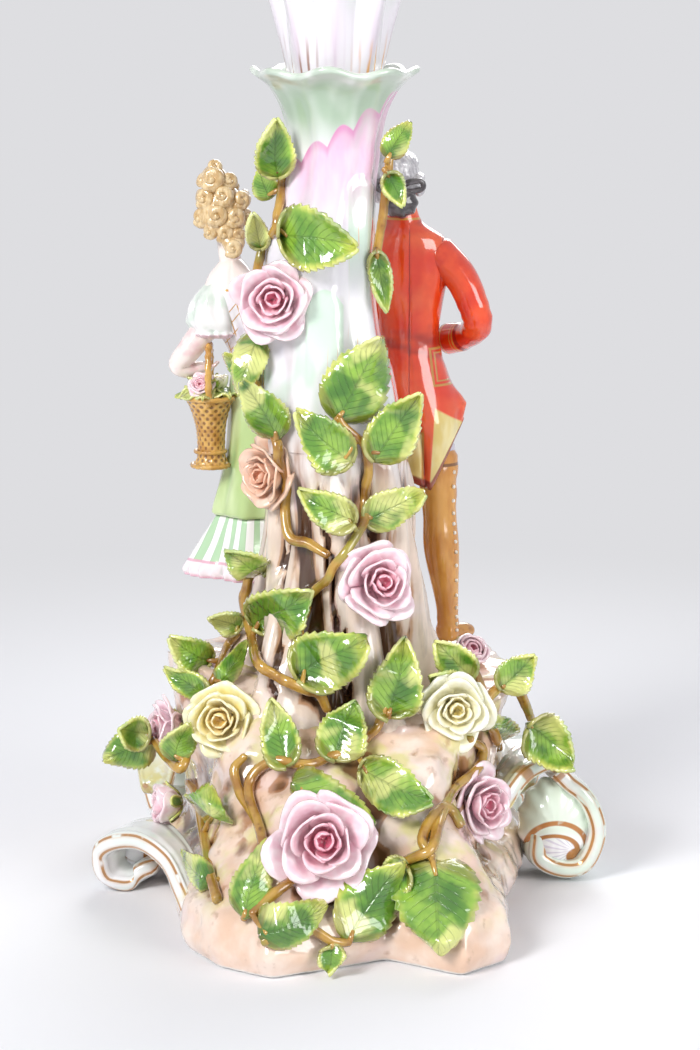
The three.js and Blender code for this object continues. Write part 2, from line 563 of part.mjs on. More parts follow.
// A leaf laid over the stand. It leaves the nearest point of its twigs by a stalk, swells from its root
// at [x, z], points `degrees` up from +X in elevation and lifts off what lies under it by `tilt`. y is
// given only where it stands free.
function leafAt([x, z, degrees, length, width, tilt = 16, y], twigPoints, side) {
  const heading = v(Math.cos(radians(degrees)), 0, Math.sin(radians(degrees)));
  const across = v(-heading.z, 0, heading.x);
  let under = skin([x, z], side, y).point.y;
  const outline = [[0.04, 0.2, 1.2], [0.32, 0.96, 1.5], [0.72, 0.8, 1.2], [1, 0, 0.4]];
  const rings = outline.map(([t, share, thick]) => {
    const half = (width / 2) * share;
    const spine = v(x, 0, z).addScaledVector(heading, length * t);
    const spots = [-half, 0, half].map((offset) => spine.clone().addScaledVector(across, offset));
    const depths = spots.map((p) => y ?? (reaches(p, side) ? skin([p.x, p.z], side).point.y : under));
    under = side * Math.max(...depths.map((depth) => depth * side));
    const rise = side * (TWIG_RADIUS + 0.4 + length * t * Math.sin(radians(tilt)));
    const [left, middle, right] = [0.5, 1, 0.5].map((hold, k) =>
      THREE.MathUtils.lerp(depths[k], under, hold) + rise - (k === 1 ? 0 : side * 0.1 * half));
    const [low, mid, high] = spots;
    return [low.setY(left), mid.clone().setY(middle - side * thick), high.setY(right),
      mid.clone().setY(middle)];
  });
  const tip = rings.pop()[3];
  const heart = (row) => rings[row][3].clone().lerp(rings[row][1], 0.5);
  const neck = heart(0);
  const nearest = (best, p) => (p.distanceTo(neck) < best.distanceTo(neck) ? p : best);
  const near = twigPoints.reduce(nearest).clone().addScaledVector(heading, -0.7);
  const stalk = [across.clone().negate(), v(0, -side, 0), across.clone(), v(0, side, 0)]
    .map((p) => p.add(near));
  if (neck.clone().sub(near).dot(heading) > 1) return loft([stalk, ...rings], { keeled: true, tip });
  const root = neck.lerp(heart(1), 0.3);
  const stem = loft([stalk, stalk.map((p) => p.clone().sub(near).add(root))]);
  return join([loft(rings, { keeled: true, tip }), stem]);
}

// Each briar, in elevation: twigs as [x, z, lift, y], leaves as [x, z, degrees, length, width, tilt, y].
const BRIARS = {
  briar_collar: {
    twigs: [[[-18, 252], [-18, 242], [-19, 233], [-24, 227], [-26, 221], [-27, 213], [-24, 200],
      [-26, 190]]],
    leaves: [[-19, 250, 102, 20, 14, 15], [-19, 231, 8, 26, 22, 16], [-26, 197, -112, 20, 12, 15]],
  },
  briar_neck_right: {
    twigs: [[[14, 224, 1, -10], [16, 236, 1, -9], [17.5, 248, 1, -8], [18.5, 258, 1, -8]]],
    leaves: [[18, 257, 66, 14, 9, 10, -8], [14, 226, -82, 21, 8, 6, -10]],
  },
  briar_stem_left: {
    twigs: [[[-25, 190], [-27, 181], [-25, 168], [-19, 162, 3], [-17, 149, 3], [-18, 137, 3],
      [-16, 129, 3], [-8, 127, 3], [-2, 124]]],
    leaves: [[-19, 163, 113, 24, 14, 22]],
  },
  briar_stem_right: {
    twigs: [[[1, 171], [3, 168], [9, 161], [12, 153], [11, 142], [9, 135], [3, 125], [-2, 116],
      [-9, 108], [-12, 99], [-13, 88]]],
    leaves: [[1, 170, 62, 32, 23, 12], [13, 156, 56, 29, 17, 14], [6, 156, 146, 26, 17, 14],
      [7, 136, 153, 22, 13, 12],
      [10, 135, 27, 23, 14, 14]],
  },
  briar_trunk_left: {
    twigs: [[[-25, 115], [-30, 111], [-32, 102], [-28, 90, 4], [-21, 82, 5], [-12, 78, 5],
      [-6, 76, 5], [-4, 70, 4]]],
    leaves: [[-25, 113, 128, 17, 13, 14], [-29, 95, 43, 28, 20, 20], [-13, 83, 39, 28, 22, 16]],
  },
  briar_trunk_foot: {
    twigs: [
      [[17, 76], [15, 66], [7, 59], [-8, 57], [-20, 58], [-26, 54], [-28, 48], [-24, 40], [-22, 33],
      [-24, 26], [-27, 17]],
      [[-24, 40], [-31, 47], [-33, 54], [-30, 59]], [[-26, 19], [-22, 22], [-14, 28]],
    ],
    leaves: [[18, 70, 74, 26, 19, 16], [0, 58, 74, 20, 17, 24], [-16, 58, 107, 21, 13, 20],
      [8, 56, -12, 25, 16, 20],
      [-14, 55, -24, 30, 15, 14], [-29, 19, 79, 21, 13, 24], [-24, 16, 20, 22, 15, 20]],
  },
  briar_base_left: {
    twigs: [[[-38, 20], [-43, 28], [-48, 33], [-52, 35]]],
    leaves: [[-44, 33, 64, 17, 20, 22]],
  },
  briar_base_rear: {
    twigs: [[[-22, 13], [-14, 15], [-8, 15], [-1, 11], [4, 10]]],
    leaves: [[4, 11, 56, 30, 20, 16]],
  },
  briar_base_right: {
    twigs: [
      [[45, 60], [50, 54], [48, 49], [40, 46], [35, 42], [32, 36], [23, 31]],
      [[42, 38], [38, 43, 3], [33, 43, 3], [29, 38, 2], [32, 34, 1]],
    ],
    leaves: [[33, 33, -90, 24, 29, 16]],
  },
  briar_right: {
    twigs: [
      [[46, 84, 1, -14], [49.5, 78, 1, -20], [52, 71, 1, -27], [52, 64], [56, 54], [58, 45]],
      [[52, 73, 1, -25], [57, 76, 1, -20], [63, 74, 1, -13], [66, 68, 1, -8], [69, 60, 1, -3]],
    ],
    leaves: [[47, 80, 133, 19, 13, 14, -20], [57, 76, 45, 17, 13, 10, -20],
      [67, 60, -33, 20, 18, 8, -7], [57, 49, 96, 20, 18, 14]],
  },
  briar_left: {
    twigs: [[[-34, 90], [-41, 80], [-45, 70], [-49, 60], [-52, 52, 1, -36], [-58, 52, 1, -24],
      [-64, 54, 1, -8]]],
    leaves: [[-43, 83, 147, 18, 12, 20], [-44, 74, 144, 17, 10, 26],
      [-64, 54, -161, 18, 16, 8, -8], [-65, 56, 166, 11, 13, 20, -6], [-55, 54, 80, 15, 12, 10, -32]],
  },
  briar_front_left: {
    side: 1,
    twigs: [[[-58, 46], [-46, 38], [-32, 34], [-18, 34]]],
    leaves: [[-52, 42, 100, 18, 14, 25], [-40, 36, -70, 20, 16, 25], [-24, 34, 80, 20, 16, 25]],
  },
  briar_front_right: {
    side: 1,
    twigs: [[[58, 46], [46, 38], [32, 34], [18, 34]]],
    leaves: [[52, 42, 80, 18, 14, 25], [40, 36, -110, 20, 16, 25], [24, 34, 100, 20, 16, 25]],
  },
};
for (const [name, { twigs, leaves, side = -1 }] of Object.entries(BRIARS)) {
  const paths = twigs.map((places) => twigPath(places, side));
  place("garland", name, "leaf", join([
    ...paths.map((path) => tube(path, TWIG_RADIUS)),
    ...leaves.map((row) => leafAt(row, paths.flatMap(joints), side)),
  ]));
}

// A rose: a five-lobed outer cup, an inner cup turned half a petal, and a bud. A bud alone is small and
// closed. Both open along +Z.
const PETALS = [[-0.75, 0.24, 0], [-0.4, 0.76, 0], [0.12, 1, 1], [-0.14, 0.66, 0], [0.28, 0.58, -1],
  [0.4, 0.2, 0]];
const BUD = [[-1, 0.3, 0], [-0.3, 0.95, 0], [0.5, 0.8, 1], [0.6, 0.3, -1]];
function rose(radius) {
  const [rows, count] = radius > 7 ? [PETALS, 10] : [BUD, 8];
  return loft(rows.map(([z, r, lobe]) =>
    ring(count, [0, 0, z * radius], r * radius, r * radius,
      (a) => 1 + 0.09 * lobe * Math.cos((count / 2) * a))
      .map((p, k) => p.setZ(p.z + 0.07 * lobe * radius * Math.cos(k * Math.PI)))));
}

// Turns +Z to `out` and moves the origin to `point`.
function aimed(geometry, point, out) {
  const turn = new THREE.Quaternion().setFromUnitVectors(v(0, 0, 1), out.clone().normalize());
  return geometry.applyQuaternion(turn).translate(point.x, point.y, point.z);
}

// Each rose: the place of its heart in rear elevation [x, z], its radius, how far it stands off the
// stand, and the way it looks. y is given only where it stands free of the stand.
const ROSES = {
  rose_stem: { at: [-19, 209], radius: 12.5, off: 8.6, look: [-0.15, -1, 0.05], colour: "pink" },
  rose_peach: { at: [-24, 148], radius: 11.5, off: 6, look: [-0.75, -0.65, 0], colour: "peach" },
  rose_trunk: { at: [11.5, 113], radius: 13, off: 9, look: [0.1, -1, 0.1], colour: "pink" },
  rose_yellow: { at: [-37, 66], radius: 12, off: 8.5, look: [-0.25, -1, 0.15], colour: "cream" },
  rose_left: { at: [-62, 58], radius: 9.5, off: 0, y: -6, look: [-1, -0.35, 0.1], colour: "pink" },
  rose_cream: { at: [41, 67], radius: 12, off: 8.5, look: [0.1, -1, 0.1], colour: "cream" },
  rose_lower_left: { at: [-7, 36], radius: 16, off: 11.4, look: [0, -1, 0.25], colour: "pink" },
  rose_lower_right: { at: [50, 35], radius: 12.5, off: 10, look: [0.3, -1, 0.2], colour: "pink" },
  bud_left: { at: [-60, 34], radius: 6.5, off: 0, y: -20, look: [-1, -0.3, 0.05], colour: "pink" },
  bud_right: { at: [76, 51.2], radius: 6, off: 0, y: 8, look: [0.5, -0.3, 0.8], colour: "peach" },
  bud_shoe: { at: [48.5, 81.4], radius: 5.5, off: 0, y: 12, look: [0.4, -0.6, 0.7], colour: "pink" },
  rose_front: { at: [0, 40], radius: 13, off: 9, look: [0, 1, 0.3], colour: "pink", side: 1 },
};
for (const [name, { at, radius, off, look, colour, side = -1, y }] of Object.entries(ROSES)) {
  const foot = skin(at, side, y);
  const heart = foot.point.addScaledVector(foot.normal, off);
  place("garland", name, colour, aimed(rose(radius), heart, v(...look)));
}

// The cork bush lines the socket, and its flange carries the bowl's shoulder.
const FLANGE_Z = 272.3;
const bushProfile = [
  [SPIGOT_RADIUS + 0.4, STEM_TOP + 0.6], [CORK_RADIUS, STEM_TOP + 0.6], [CORK_RADIUS, FLANGE_Z],
  [15, FLANGE_Z], [15, FLANGE_Z + 2], [SPIGOT_RADIUS + 0.4, FLANGE_Z + 2],
  [SPIGOT_RADIUS + 0.4, STEM_TOP + 0.6],
].map(([r, z]) => new THREE.Vector2(r, z));
const bush = new THREE.LatheGeometry(bushProfile, 16).rotateX(Math.PI / 2);
place("stand", "cork_bush", "cork", bush, { cutBack: false, finish: { roughness: 0.9, metalness: 0 } });

// The bowl's foot is a calyx of eight leaves that opens from the spigot to the bowl's floor.
const SHOULDER_Z = FLANGE_Z + 2.3;
const calyxLeaf = (angle, z) =>
  1 + THREE.MathUtils.clamp((z - SHOULDER_Z) / 30, 0, 1) * 0.06 * Math.cos(8 * angle);
place("bowl", "bowl_calyx", "white", loft([
  [254, SPIGOT_RADIUS], [SHOULDER_Z, SPIGOT_RADIUS], [SHOULDER_Z, 14.6], [288, 16.4],
  [308, 20.2], [324, 25.6], [BOWL_FLOOR_Z - 4.3, 32],
].map(([z, radius]) => ring(24, [0, 0, z], radius, radius, (a) => calyxLeaf(a, z)))), { cutBack: false });

// The bowl: two skins with a pierced lattice, a plain floor and a scalloped rim.
function bowlGeometry() {
  const columns = 2 * WINDOWS;
  const ribShare = 0.36;
  const profile = [
    [34, 0], [58, 14], [72, 30], [87, 52], [91, 59], [101.5, 82],
    [BOWL_RADIUS, BOWL_RIM_Z - BOWL_FLOOR_Z],
  ];
  const rim = profile.length - 1;
  const pierced = [2, 4];
  const thickness = 4;
  const pitch = (2 * Math.PI) / WINDOWS;
  const angleAt = (k) => (Math.floor(k / 2) + (k % 2 ? ribShare : 0) - ribShare / 2) * pitch;
  const points = [];
  const index = [];
  const id = (row, k, inner) => (row * columns + (k % columns)) * 2 + inner;
  profile.forEach(([radius, rise], row) => {
    const [before, after] = [profile[Math.max(0, row - 1)], profile[Math.min(rim, row + 1)]];
    const run = new THREE.Vector2(after[0] - before[0], row && after[1] - before[1]).normalize();
    for (let k = 0; k < columns; k++) {
      const angle = angleAt(k);
      const lobe = row < rim - 1 ? 0 : 0.028 * Math.cos(6 * angle) * (row === rim ? 1 : 0.5);
      for (const inner of [0, 1]) {
        const r = radius * (1 + lobe) - inner * thickness * run.y;
        points.push(v(r * Math.cos(angle), r * Math.sin(angle),
          BOWL_FLOOR_Z - thickness + rise + inner * thickness * run.x + (row === rim ? 40 * lobe : 0)));
      }
    }
  });
  const quad = (a, b, c, d) => index.push(a, b, c, a, c, d);
  for (let k = 0; k < columns; k++) {
    for (let row = 0; row < rim; row++) {
      const edge = [[row, k], [row, k + 1], [row + 1, k + 1], [row + 1, k]];
      const [a, b, c, d] = edge.map(([r, j]) => id(r, j, 0));
      const [a2, b2, c2, d2] = edge.map(([r, j]) => id(r, j, 1));
      if (pierced.includes(row) && k % 2 === 1) {
        quad(a, b, b2, a2);
        quad(b, c, c2, b2);
        quad(c, d, d2, c2);
        quad(d, a, a2, d2);
      } else {
        quad(a, b, c, d);
        quad(a2, d2, c2, b2);
      }
    }
    quad(id(rim, k, 0), id(rim, k + 1, 0), id(rim, k + 1, 1), id(rim, k, 1));
    index.push(id(0, k + 1, 0), id(0, k, 0), points.length);
    index.push(id(0, k, 1), id(0, k + 1, 1), points.length + 1);
  }
  points.push(v(0, 0, BOWL_FLOOR_Z - thickness), v(0, 0, BOWL_FLOOR_Z));
  return facingOut(points, index);
}
place("bowl", "pierced_bowl", "white", bowlGeometry(), { cutBack: false });

export default centrepiece;
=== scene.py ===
# %% [markdown]
# # A porcelain centrepiece
# The real piece is hand-built porcelain: a cast mound, trunk and stem, two figures, and a garland of
# roses whose petals and leaves were pressed and laid on one by one. A pierced bowl drops into the
# collar on top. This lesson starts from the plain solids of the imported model. It keeps their places,
# and gives each piece its modelling and its painted glaze.
# Lengths in this file are in millimetres, and `MM` turns them into metres.

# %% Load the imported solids
import random
from math import atan2, copysign, cos, exp, hypot, pi, radians, sin, tau

import bpy
import numpy as np
from mathutils import Matrix, Vector, noise
from mathutils.bvhtree import BVHTree


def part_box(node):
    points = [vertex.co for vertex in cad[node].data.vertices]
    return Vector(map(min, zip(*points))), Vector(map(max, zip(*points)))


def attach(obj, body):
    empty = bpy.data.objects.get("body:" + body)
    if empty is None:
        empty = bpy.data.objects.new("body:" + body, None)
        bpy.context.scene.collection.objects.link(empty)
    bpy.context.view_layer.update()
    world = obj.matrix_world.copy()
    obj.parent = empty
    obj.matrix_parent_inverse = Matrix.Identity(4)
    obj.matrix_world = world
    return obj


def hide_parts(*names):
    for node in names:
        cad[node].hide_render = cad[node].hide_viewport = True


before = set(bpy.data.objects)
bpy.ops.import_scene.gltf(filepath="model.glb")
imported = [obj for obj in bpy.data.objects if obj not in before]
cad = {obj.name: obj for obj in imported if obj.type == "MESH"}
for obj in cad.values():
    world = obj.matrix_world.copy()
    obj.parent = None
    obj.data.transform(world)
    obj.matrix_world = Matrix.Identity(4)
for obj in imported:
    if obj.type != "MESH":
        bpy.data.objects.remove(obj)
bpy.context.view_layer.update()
MM = 0.001

# %% [markdown]
# ## Camera, floor and light
# The camera stands where the photographer stood, a little above the object, and looks 11 degrees
# down. The floor and the backdrop are one pale sheet that curves up behind the object, so that no
# edge shows. Three soft lamps light it at a plain level: porcelain glaze shows a lamp as a bright
# patch, so the lamps are broad.

# %% Camera
CAMERA_PLACE = (0.0051, -0.930, 0.310)
CAMERA_DOWN = 11
SENSOR, LENS = 36, 93.05
bpy.ops.object.camera_add(location=CAMERA_PLACE, rotation=(radians(90 - CAMERA_DOWN), 0, 0))
camera = bpy.context.object
camera.data.sensor_width = SENSOR
camera.data.lens = LENS
camera.data.clip_start = 0.05
bpy.context.scene.camera = camera
bpy.context.scene.view_settings.view_transform = "Standard"
print("camera", tuple(camera.location))


# %% Select and copy
def deselect():
    if bpy.context.object and bpy.context.object.mode != "OBJECT":
        bpy.ops.object.mode_set(mode="OBJECT")
    bpy.ops.object.select_all(action="DESELECT")


def take(piece):
    """Makes one piece the only selected and active one."""
    deselect()
    piece.select_set(True)
    bpy.context.view_layer.objects.active = piece
    return piece


def applied(piece, kind, **settings):
    """Adds a modifier, sets it and applies it."""
    take(piece)
    modifier = piece.modifiers.new(kind.title(), kind)
    for key, value in settings.items():
        setattr(modifier, key, value)
    bpy.ops.object.modifier_apply(modifier=modifier.name)
    return piece


def copied(piece, name):
    """A copy that has its own mesh."""
    twin = piece.copy()
    twin.data = piece.data.copy()
    twin.parent = None
    for key in list(twin.keys()):
        if key.startswith("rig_"):
            del twin[key]
    twin.name = twin.data.name = name
    bpy.context.collection.objects.link(twin)
    return twin


def joined(pieces, name):
    """Joins pieces into the first one. Each keeps its materials."""
    take(pieces[0])
    for piece in pieces[1:]:
        piece.select_set(True)
    if len(pieces) > 1:
        bpy.ops.object.join()
    whole = bpy.context.object
    whole.name = whole.data.name = name
    return whole


def finished(piece, body, slot, *nodes, sharp=None):
    """Smooth shading, the body it moves with and the solids that it stands for. `slot` is not used."""
    take(piece)
    bpy.ops.object.transform_apply(location=True, rotation=True, scale=True)
    if sharp is None:
        bpy.ops.object.shade_smooth()
    else:
        bpy.ops.object.shade_smooth_by_angle(angle=radians(sharp))
    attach(piece, body)
    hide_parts(*nodes)
    print(piece.name, len(piece.data.polygons), "faces")
    return piece


# %% Backdrop
FLOOR_WIDE, FLOOR_DEEP, WALL_TALL = 8, 5, 4  # metres
BENDS = 12
BEND_STEP = 90 / BENDS
deselect()
bpy.ops.mesh.primitive_plane_add(size=1, location=(0, 0, 0))
floor = bpy.context.object
floor.name = "backdrop"
bpy.ops.object.mode_set(mode="EDIT")
bpy.ops.mesh.select_all(action="SELECT")
bpy.ops.transform.resize(value=(FLOOR_WIDE, FLOOR_DEEP, 1))
bpy.ops.mesh.select_mode(type="VERT")
bpy.ops.mesh.select_all(action="DESELECT")
bpy.ops.object.mode_set(mode="OBJECT")
for point in floor.data.vertices:
    point.select = point.co.y > 0
bpy.ops.object.mode_set(mode="EDIT")
bpy.ops.mesh.select_mode(type="EDGE")
for step in range(BENDS):
    bend = radians(BEND_STEP * (step + 0.5))
    bpy.ops.mesh.extrude_region_move(
        TRANSFORM_OT_translate={"value": (0, 0.2 * cos(bend), 0.2 * sin(bend))})
bpy.ops.mesh.extrude_region_move(TRANSFORM_OT_translate={"value": (0, 0, WALL_TALL)})
bpy.ops.object.mode_set(mode="OBJECT")
bpy.ops.object.shade_smooth()
print("backdrop", len(floor.data.polygons), "faces")

# %% Lamps
LAMPS = [  # place, size, watts
    ((-0.75, -1.0, 0.95), 0.5, 19),
    ((0.95, -0.85, 0.6), 0.7, 9),
    ((0.25, 1.0, 0.9), 0.8, 10),
]
for place, size, watts in LAMPS:
    bpy.ops.object.light_add(type="AREA", location=place)
    lamp = bpy.context.object
    lamp.data.size = size
    lamp.data.energy = watts
    lamp.rotation_euler = (Vector((0, 0, 0.2)) - lamp.location).to_track_quat("-Z", "Y").to_euler()
print(len(LAMPS), "lamps")

# %% [markdown]
# ## Shader maths as Python
# A painted glaze is a mix of masks: where a groove lies, how high a point is, how far it is from a
# petal's rim. In the shader editor that is a web of Math nodes. Here a small class wraps a socket, so
# that `1 - mask * 0.5` adds those nodes by itself. `Finish` holds one material. It starts with two
# colours in clouds, takes one wash of colour over another, and makes any other node from its type,
# its settings and its inputs.


# %% A socket that does arithmetic
class Value:
    def __init__(self, finish, socket):
        self.finish, self.socket = finish, socket

    def maths(self, operation, *operands):
        return self.finish.node("ShaderNodeMath", {"operation": operation}, operands)

    def __add__(self, other):
        return self.maths("ADD", self, other)

    def __sub__(self, other):
        return self.maths("SUBTRACT", self, other)

    def __rsub__(self, other):
        return self.maths("SUBTRACT", other, self)

    def __mul__(self, other):
        return self.maths("MULTIPLY", self, other)

    def __truediv__(self, other):
        return self.maths("DIVIDE", self, other)

    def __pow__(self, power):
        return self.maths("POWER", self, power)

    __radd__ = __add__
    __rmul__ = __mul__

    def sine(self):
        return self.maths("SINE", self)

    def size(self):
        return self.maths("ABSOLUTE", self)

    def least(self, other):
        return self.maths("MINIMUM", self, other)

    def most(self, other):
        return self.maths("MAXIMUM", self, other)

    def between(self, low, high):
        """0 up to `low`, 1 from `high`, and a soft step between them. `high` may be the lower one."""
        if high < low:
            return 1 - self.between(high, low)
        return self.finish.node("ShaderNodeMapRange", {"interpolation_type": "SMOOTHSTEP"},
                                {"Value": self, "From Min": low, "From Max": high})


# %% A material and its nodes
def paint(red, green, blue):
    """A colour as seen on a screen, 0 to 255, for Blender's linear colour sockets."""
    return tuple(((part / 255 + 0.055) / 1.055) ** 2.4 for part in (red, green, blue)) + (1.0,)


class Finish:
    def __init__(self, name, light=None, dark=None, patches=(), limits=(0, 1)):
        """`dark` lies on `light` in clouds. `patches` gives their size, detail and stretch."""
        self.material = bpy.data.materials.new(name)
        self.material.use_nodes = True
        self.nodes = self.material.node_tree.nodes
        self.shader = next(n for n in self.nodes if n.type == "BSDF_PRINCIPLED")
        self.object_place = None
        self.tint = None
        if patches:
            self.ground(light, dark, self.clouds(*patches).between(*limits))

    def node(self, kind, settings, inputs, output=0):
        made = self.nodes.new(kind)
        for key, value in settings.items():
            setattr(made, key, value)
        pairs = inputs.items() if isinstance(inputs, dict) else enumerate(inputs)
        for key, value in pairs:
            self.feed(made.inputs[key], value)
        return Value(self, made.outputs[output])

    def feed(self, socket, value):
        if isinstance(value, Value):
            self.material.node_tree.links.new(value.socket, socket)
        else:
            socket.default_value = value

    def place(self):
        """Object coordinates in millimetres."""
        if self.object_place is None:
            raw = self.node("ShaderNodeTexCoord", {}, {}, 3)
            self.object_place = self.node("ShaderNodeVectorMath", {"operation": "SCALE"},
                                          {0: raw, "Scale": 1 / MM})
        return self.object_place

    def axes(self, vector=None):
        made = self.node("ShaderNodeSeparateXYZ", {}, [vector or self.place()])
        return [Value(self, socket) for socket in made.socket.node.outputs]

    def uv(self):
        raw = self.node("ShaderNodeTexCoord", {}, {}, 2)
        return self.axes(raw)[:2]

    def attribute(self, name):
        return self.node("ShaderNodeAttribute", {"attribute_name": name}, {}, 2)

    def sunk(self, low, high):
        """From 0 to 1 between two depths of the hollows that `keep_hollows` stores."""
        return self.attribute("hollow").between(low, high)

    def clouds(self, size, detail=3, stretch=(1, 1, 1)):
        """Soft noise around 0.5, whose patches are about `size` millimetres wide."""
        vector = self.node("ShaderNodeVectorMath", {"operation": "MULTIPLY"}, [self.place(), stretch])
        return self.node("ShaderNodeTexNoise", {}, {"Vector": vector, "Scale": 1 / size, "Detail": detail})

    def turn(self, up, across):
        """The angle of a place around a middle, from -pi to pi."""
        return self.node("ShaderNodeMath", {"operation": "ARCTAN2"}, [up, across])

    def mix(self, first, second, share):
        """A colour is given as the three numbers of `paint`, or as the result of another mix.

        Inputs 6 and 7 and output 2 are the ones of the Mix node that carry a colour.
        """
        made = [colour if isinstance(colour, Value) else paint(*colour) for colour in (first, second)]
        return self.node("ShaderNodeMix", {"data_type": "RGBA"}, {0: share, 6: made[0], 7: made[1]}, 2)

    def ground(self, light, dark, share):
        """The colours that the glaze starts with."""
        self.tint = self.mix(light, dark, share)

    def wash(self, colour, share):
        """One more colour over what is painted so far, as strong as `share`."""
        self.tint = self.mix(self.tint, colour, share)

    def gild(self, share):
        self.feed(self.shader.inputs["Metallic"], share)

    def bump(self, height):
        """Height in millimetres."""
        self.feed(self.shader.inputs["Normal"], self.node(
            "ShaderNodeBump", {}, {"Strength": 1, "Distance": MM, "Height": height}))

    def glaze(self, roughness=0.16, ripple=0.12, extra=0):
        """Fired and glazed: a coloured body under a clear, slightly rippled coat."""
        self.feed(self.shader.inputs["Base Color"], self.tint)
        self.feed(self.shader.inputs["Roughness"], 0.08 * self.clouds(14) + (roughness - 0.04))
        for name, value in (("Coat Weight", 1), ("Coat Roughness", 0.04), ("IOR", 1.5)):
            self.shader.inputs[name].default_value = value
        self.bump(self.clouds(5, 2) * ripple + extra)
        return self.material


def dressed(piece, material):
    piece.data.materials.clear()
    piece.data.materials.append(material)
    return piece


# %% Pale stage
# The sheet takes the object's shadow near it. Far from it, and in mirrors, it shows one pale colour.
PALE = paint(222, 222, 225)
SKY, SKY_STRENGTH = (0.86, 0.9, 1, 1), 0.26
SHADOW_ENDS = (140, 620)
stage_finish = Finish("backdrop")
stage_finish.feed(stage_finish.shader.inputs["Base Color"], paint(232, 232, 235))
stage_finish.shader.inputs["Roughness"].default_value = 0.9
glow = stage_finish.node("ShaderNodeEmission", {}, {"Color": PALE, "Strength": 1.0})
camera_ray, glossy_ray, transmission_ray = [
    stage_finish.node("ShaderNodeLightPath", {}, {}, output) for output in (0, 3, 6)]
reach = stage_finish.node("ShaderNodeVectorMath", {"operation": "LENGTH"}, [stage_finish.place()], 1)
lit = stage_finish.node("ShaderNodeMixShader", {}, {
    0: (camera_ray + glossy_ray + transmission_ray).least(1) * reach.between(*SHADOW_ENDS),
    1: Value(stage_finish, stage_finish.shader.outputs[0]), 2: glow})
stage_finish.feed(next(n for n in stage_finish.nodes if n.type == "OUTPUT_MATERIAL").inputs[0], lit)
dressed(floor, stage_finish.material)
world = bpy.context.scene.world or bpy.data.worlds.new("studio")
bpy.context.scene.world = world
world.use_nodes = True
nodes = world.node_tree.nodes
nodes["Background"].inputs["Color"].default_value = SKY
nodes["Background"].inputs["Strength"].default_value = SKY_STRENGTH
plain, seen, choice, mirrored, shown = [nodes.new("ShaderNode" + kind) for kind in (
    "Background", "LightPath", "MixShader", "Math", "Math")]
plain.inputs["Color"].default_value = PALE
shown.use_clamp = True
for source, target in (
        (seen.outputs["Is Camera Ray"], mirrored.inputs[0]),
        (seen.outputs["Is Glossy Ray"], mirrored.inputs[1]),
        (mirrored.outputs[0], shown.inputs[0]), (seen.outputs["Is Transmission Ray"], shown.inputs[1]),
        (shown.outputs[0], choice.inputs[0]), (nodes["Background"].outputs[0], choice.inputs[1]),
        (plain.outputs[0], choice.inputs[2]), (choice.outputs[0], nodes["World Output"].inputs["Surface"])):
    world.node_tree.links.new(source, target)
print("studio ready")

# %% [markdown]
# ## Rings and rows
# Most pressed and thrown pieces of the stand are rings above one another: a trunk, a collar, a
# sleeve, a skirt. By hand one would add a circle and extrude it again and again, then push each ring
# into place. `swept` does that. The circle is extruded by one unit for each ring, so that a point
# still tells its angle and its ring, and then goes to its own place. `eased` adds rings between the
# given ones along a smooth curve.


# %% Rings along a path
def clamp(share):
    return min(1, max(0, share))


def round_axis(radius, angle, height):
    return radius * cos(angle), radius * sin(angle), height


def grain(angle, reach, height):
    """Soft noise that closes on itself round an axis. A larger reach makes it finer."""
    return noise.noise(Vector(round_axis(reach, angle, height)))


def set_down(piece, place, way):
    """Turns a piece that looks along +Z to look along `way`, and moves it to its place."""
    turn = Vector((0, 0, 1)).rotation_difference(Vector(way).normalized()).to_matrix().to_4x4()
    piece.data.transform(Matrix.Translation(Vector(place) * MM) @ turn)


def eased(rows, per_span):
    """More rows between the given ones, along a smooth curve through them."""
    rows = np.array(rows, float)
    padded = np.vstack([2 * rows[0] - rows[1], rows, 2 * rows[-1] - rows[-2]])
    made = []
    for k in range(len(rows) - 1):
        a, b, c, d = padded[k:k + 4]
        for t in np.arange(per_span) / per_span:
            made.append(b + 0.5 * t * (c - a + t * (2 * a - 5 * b + 4 * c - d + t * (3 * (b - c) + d - a))))
    return np.array(made + [rows[-1]])


def tidy_mesh(piece, merge=True):
    """Merges what lies in one place, if `merge` says so, and turns all faces outwards."""
    take(piece)
    bpy.ops.object.mode_set(mode="EDIT")
    bpy.ops.mesh.select_all(action="SELECT")
    if merge:
        bpy.ops.mesh.remove_doubles(threshold=1e-6)
    bpy.ops.mesh.normals_make_consistent(inside=False)
    bpy.ops.object.mode_set(mode="OBJECT")
    return piece


def swept(name, rings, columns, place):
    """A tube of `rings` rings. place(angle, ring) gives each point in millimetres."""
    deselect()
    bpy.ops.mesh.primitive_circle_add(vertices=columns, radius=1, location=(0, 0, 0), calc_uvs=False)
    piece = bpy.context.object
    piece.name = piece.data.name = name
    bpy.ops.object.mode_set(mode="EDIT")
    bpy.ops.mesh.select_all(action="SELECT")
    for _ in range(rings - 1):
        bpy.ops.mesh.extrude_region_move(TRANSFORM_OT_translate={"value": (0, 0, 1)})
    bpy.ops.object.mode_set(mode="OBJECT")
    mesh = piece.data
    turn = [(atan2(p.co.y, p.co.x) / tau) % 1 for p in mesh.vertices]
    turn = [round(t * columns) % columns / columns for t in turn]
    level = [round(p.co.z) for p in mesh.vertices]
    run = mesh.uv_layers.new(name="Run")
    for face in mesh.polygons:
        turns = [turn[mesh.loops[k].vertex_index] for k in face.loop_indices]
        over_seam = max(turns) - min(turns) > 0.5
        for k, t in zip(face.loop_indices, turns):
            ring = level[mesh.loops[k].vertex_index]
            run.data[k].uv = (t + (1 if over_seam and t < 0.5 else 0), ring / (rings - 1))
    for k, point in enumerate(mesh.vertices):
        point.co = Vector(place(turn[k] * tau, level[k])) * MM
    return tidy_mesh(piece)


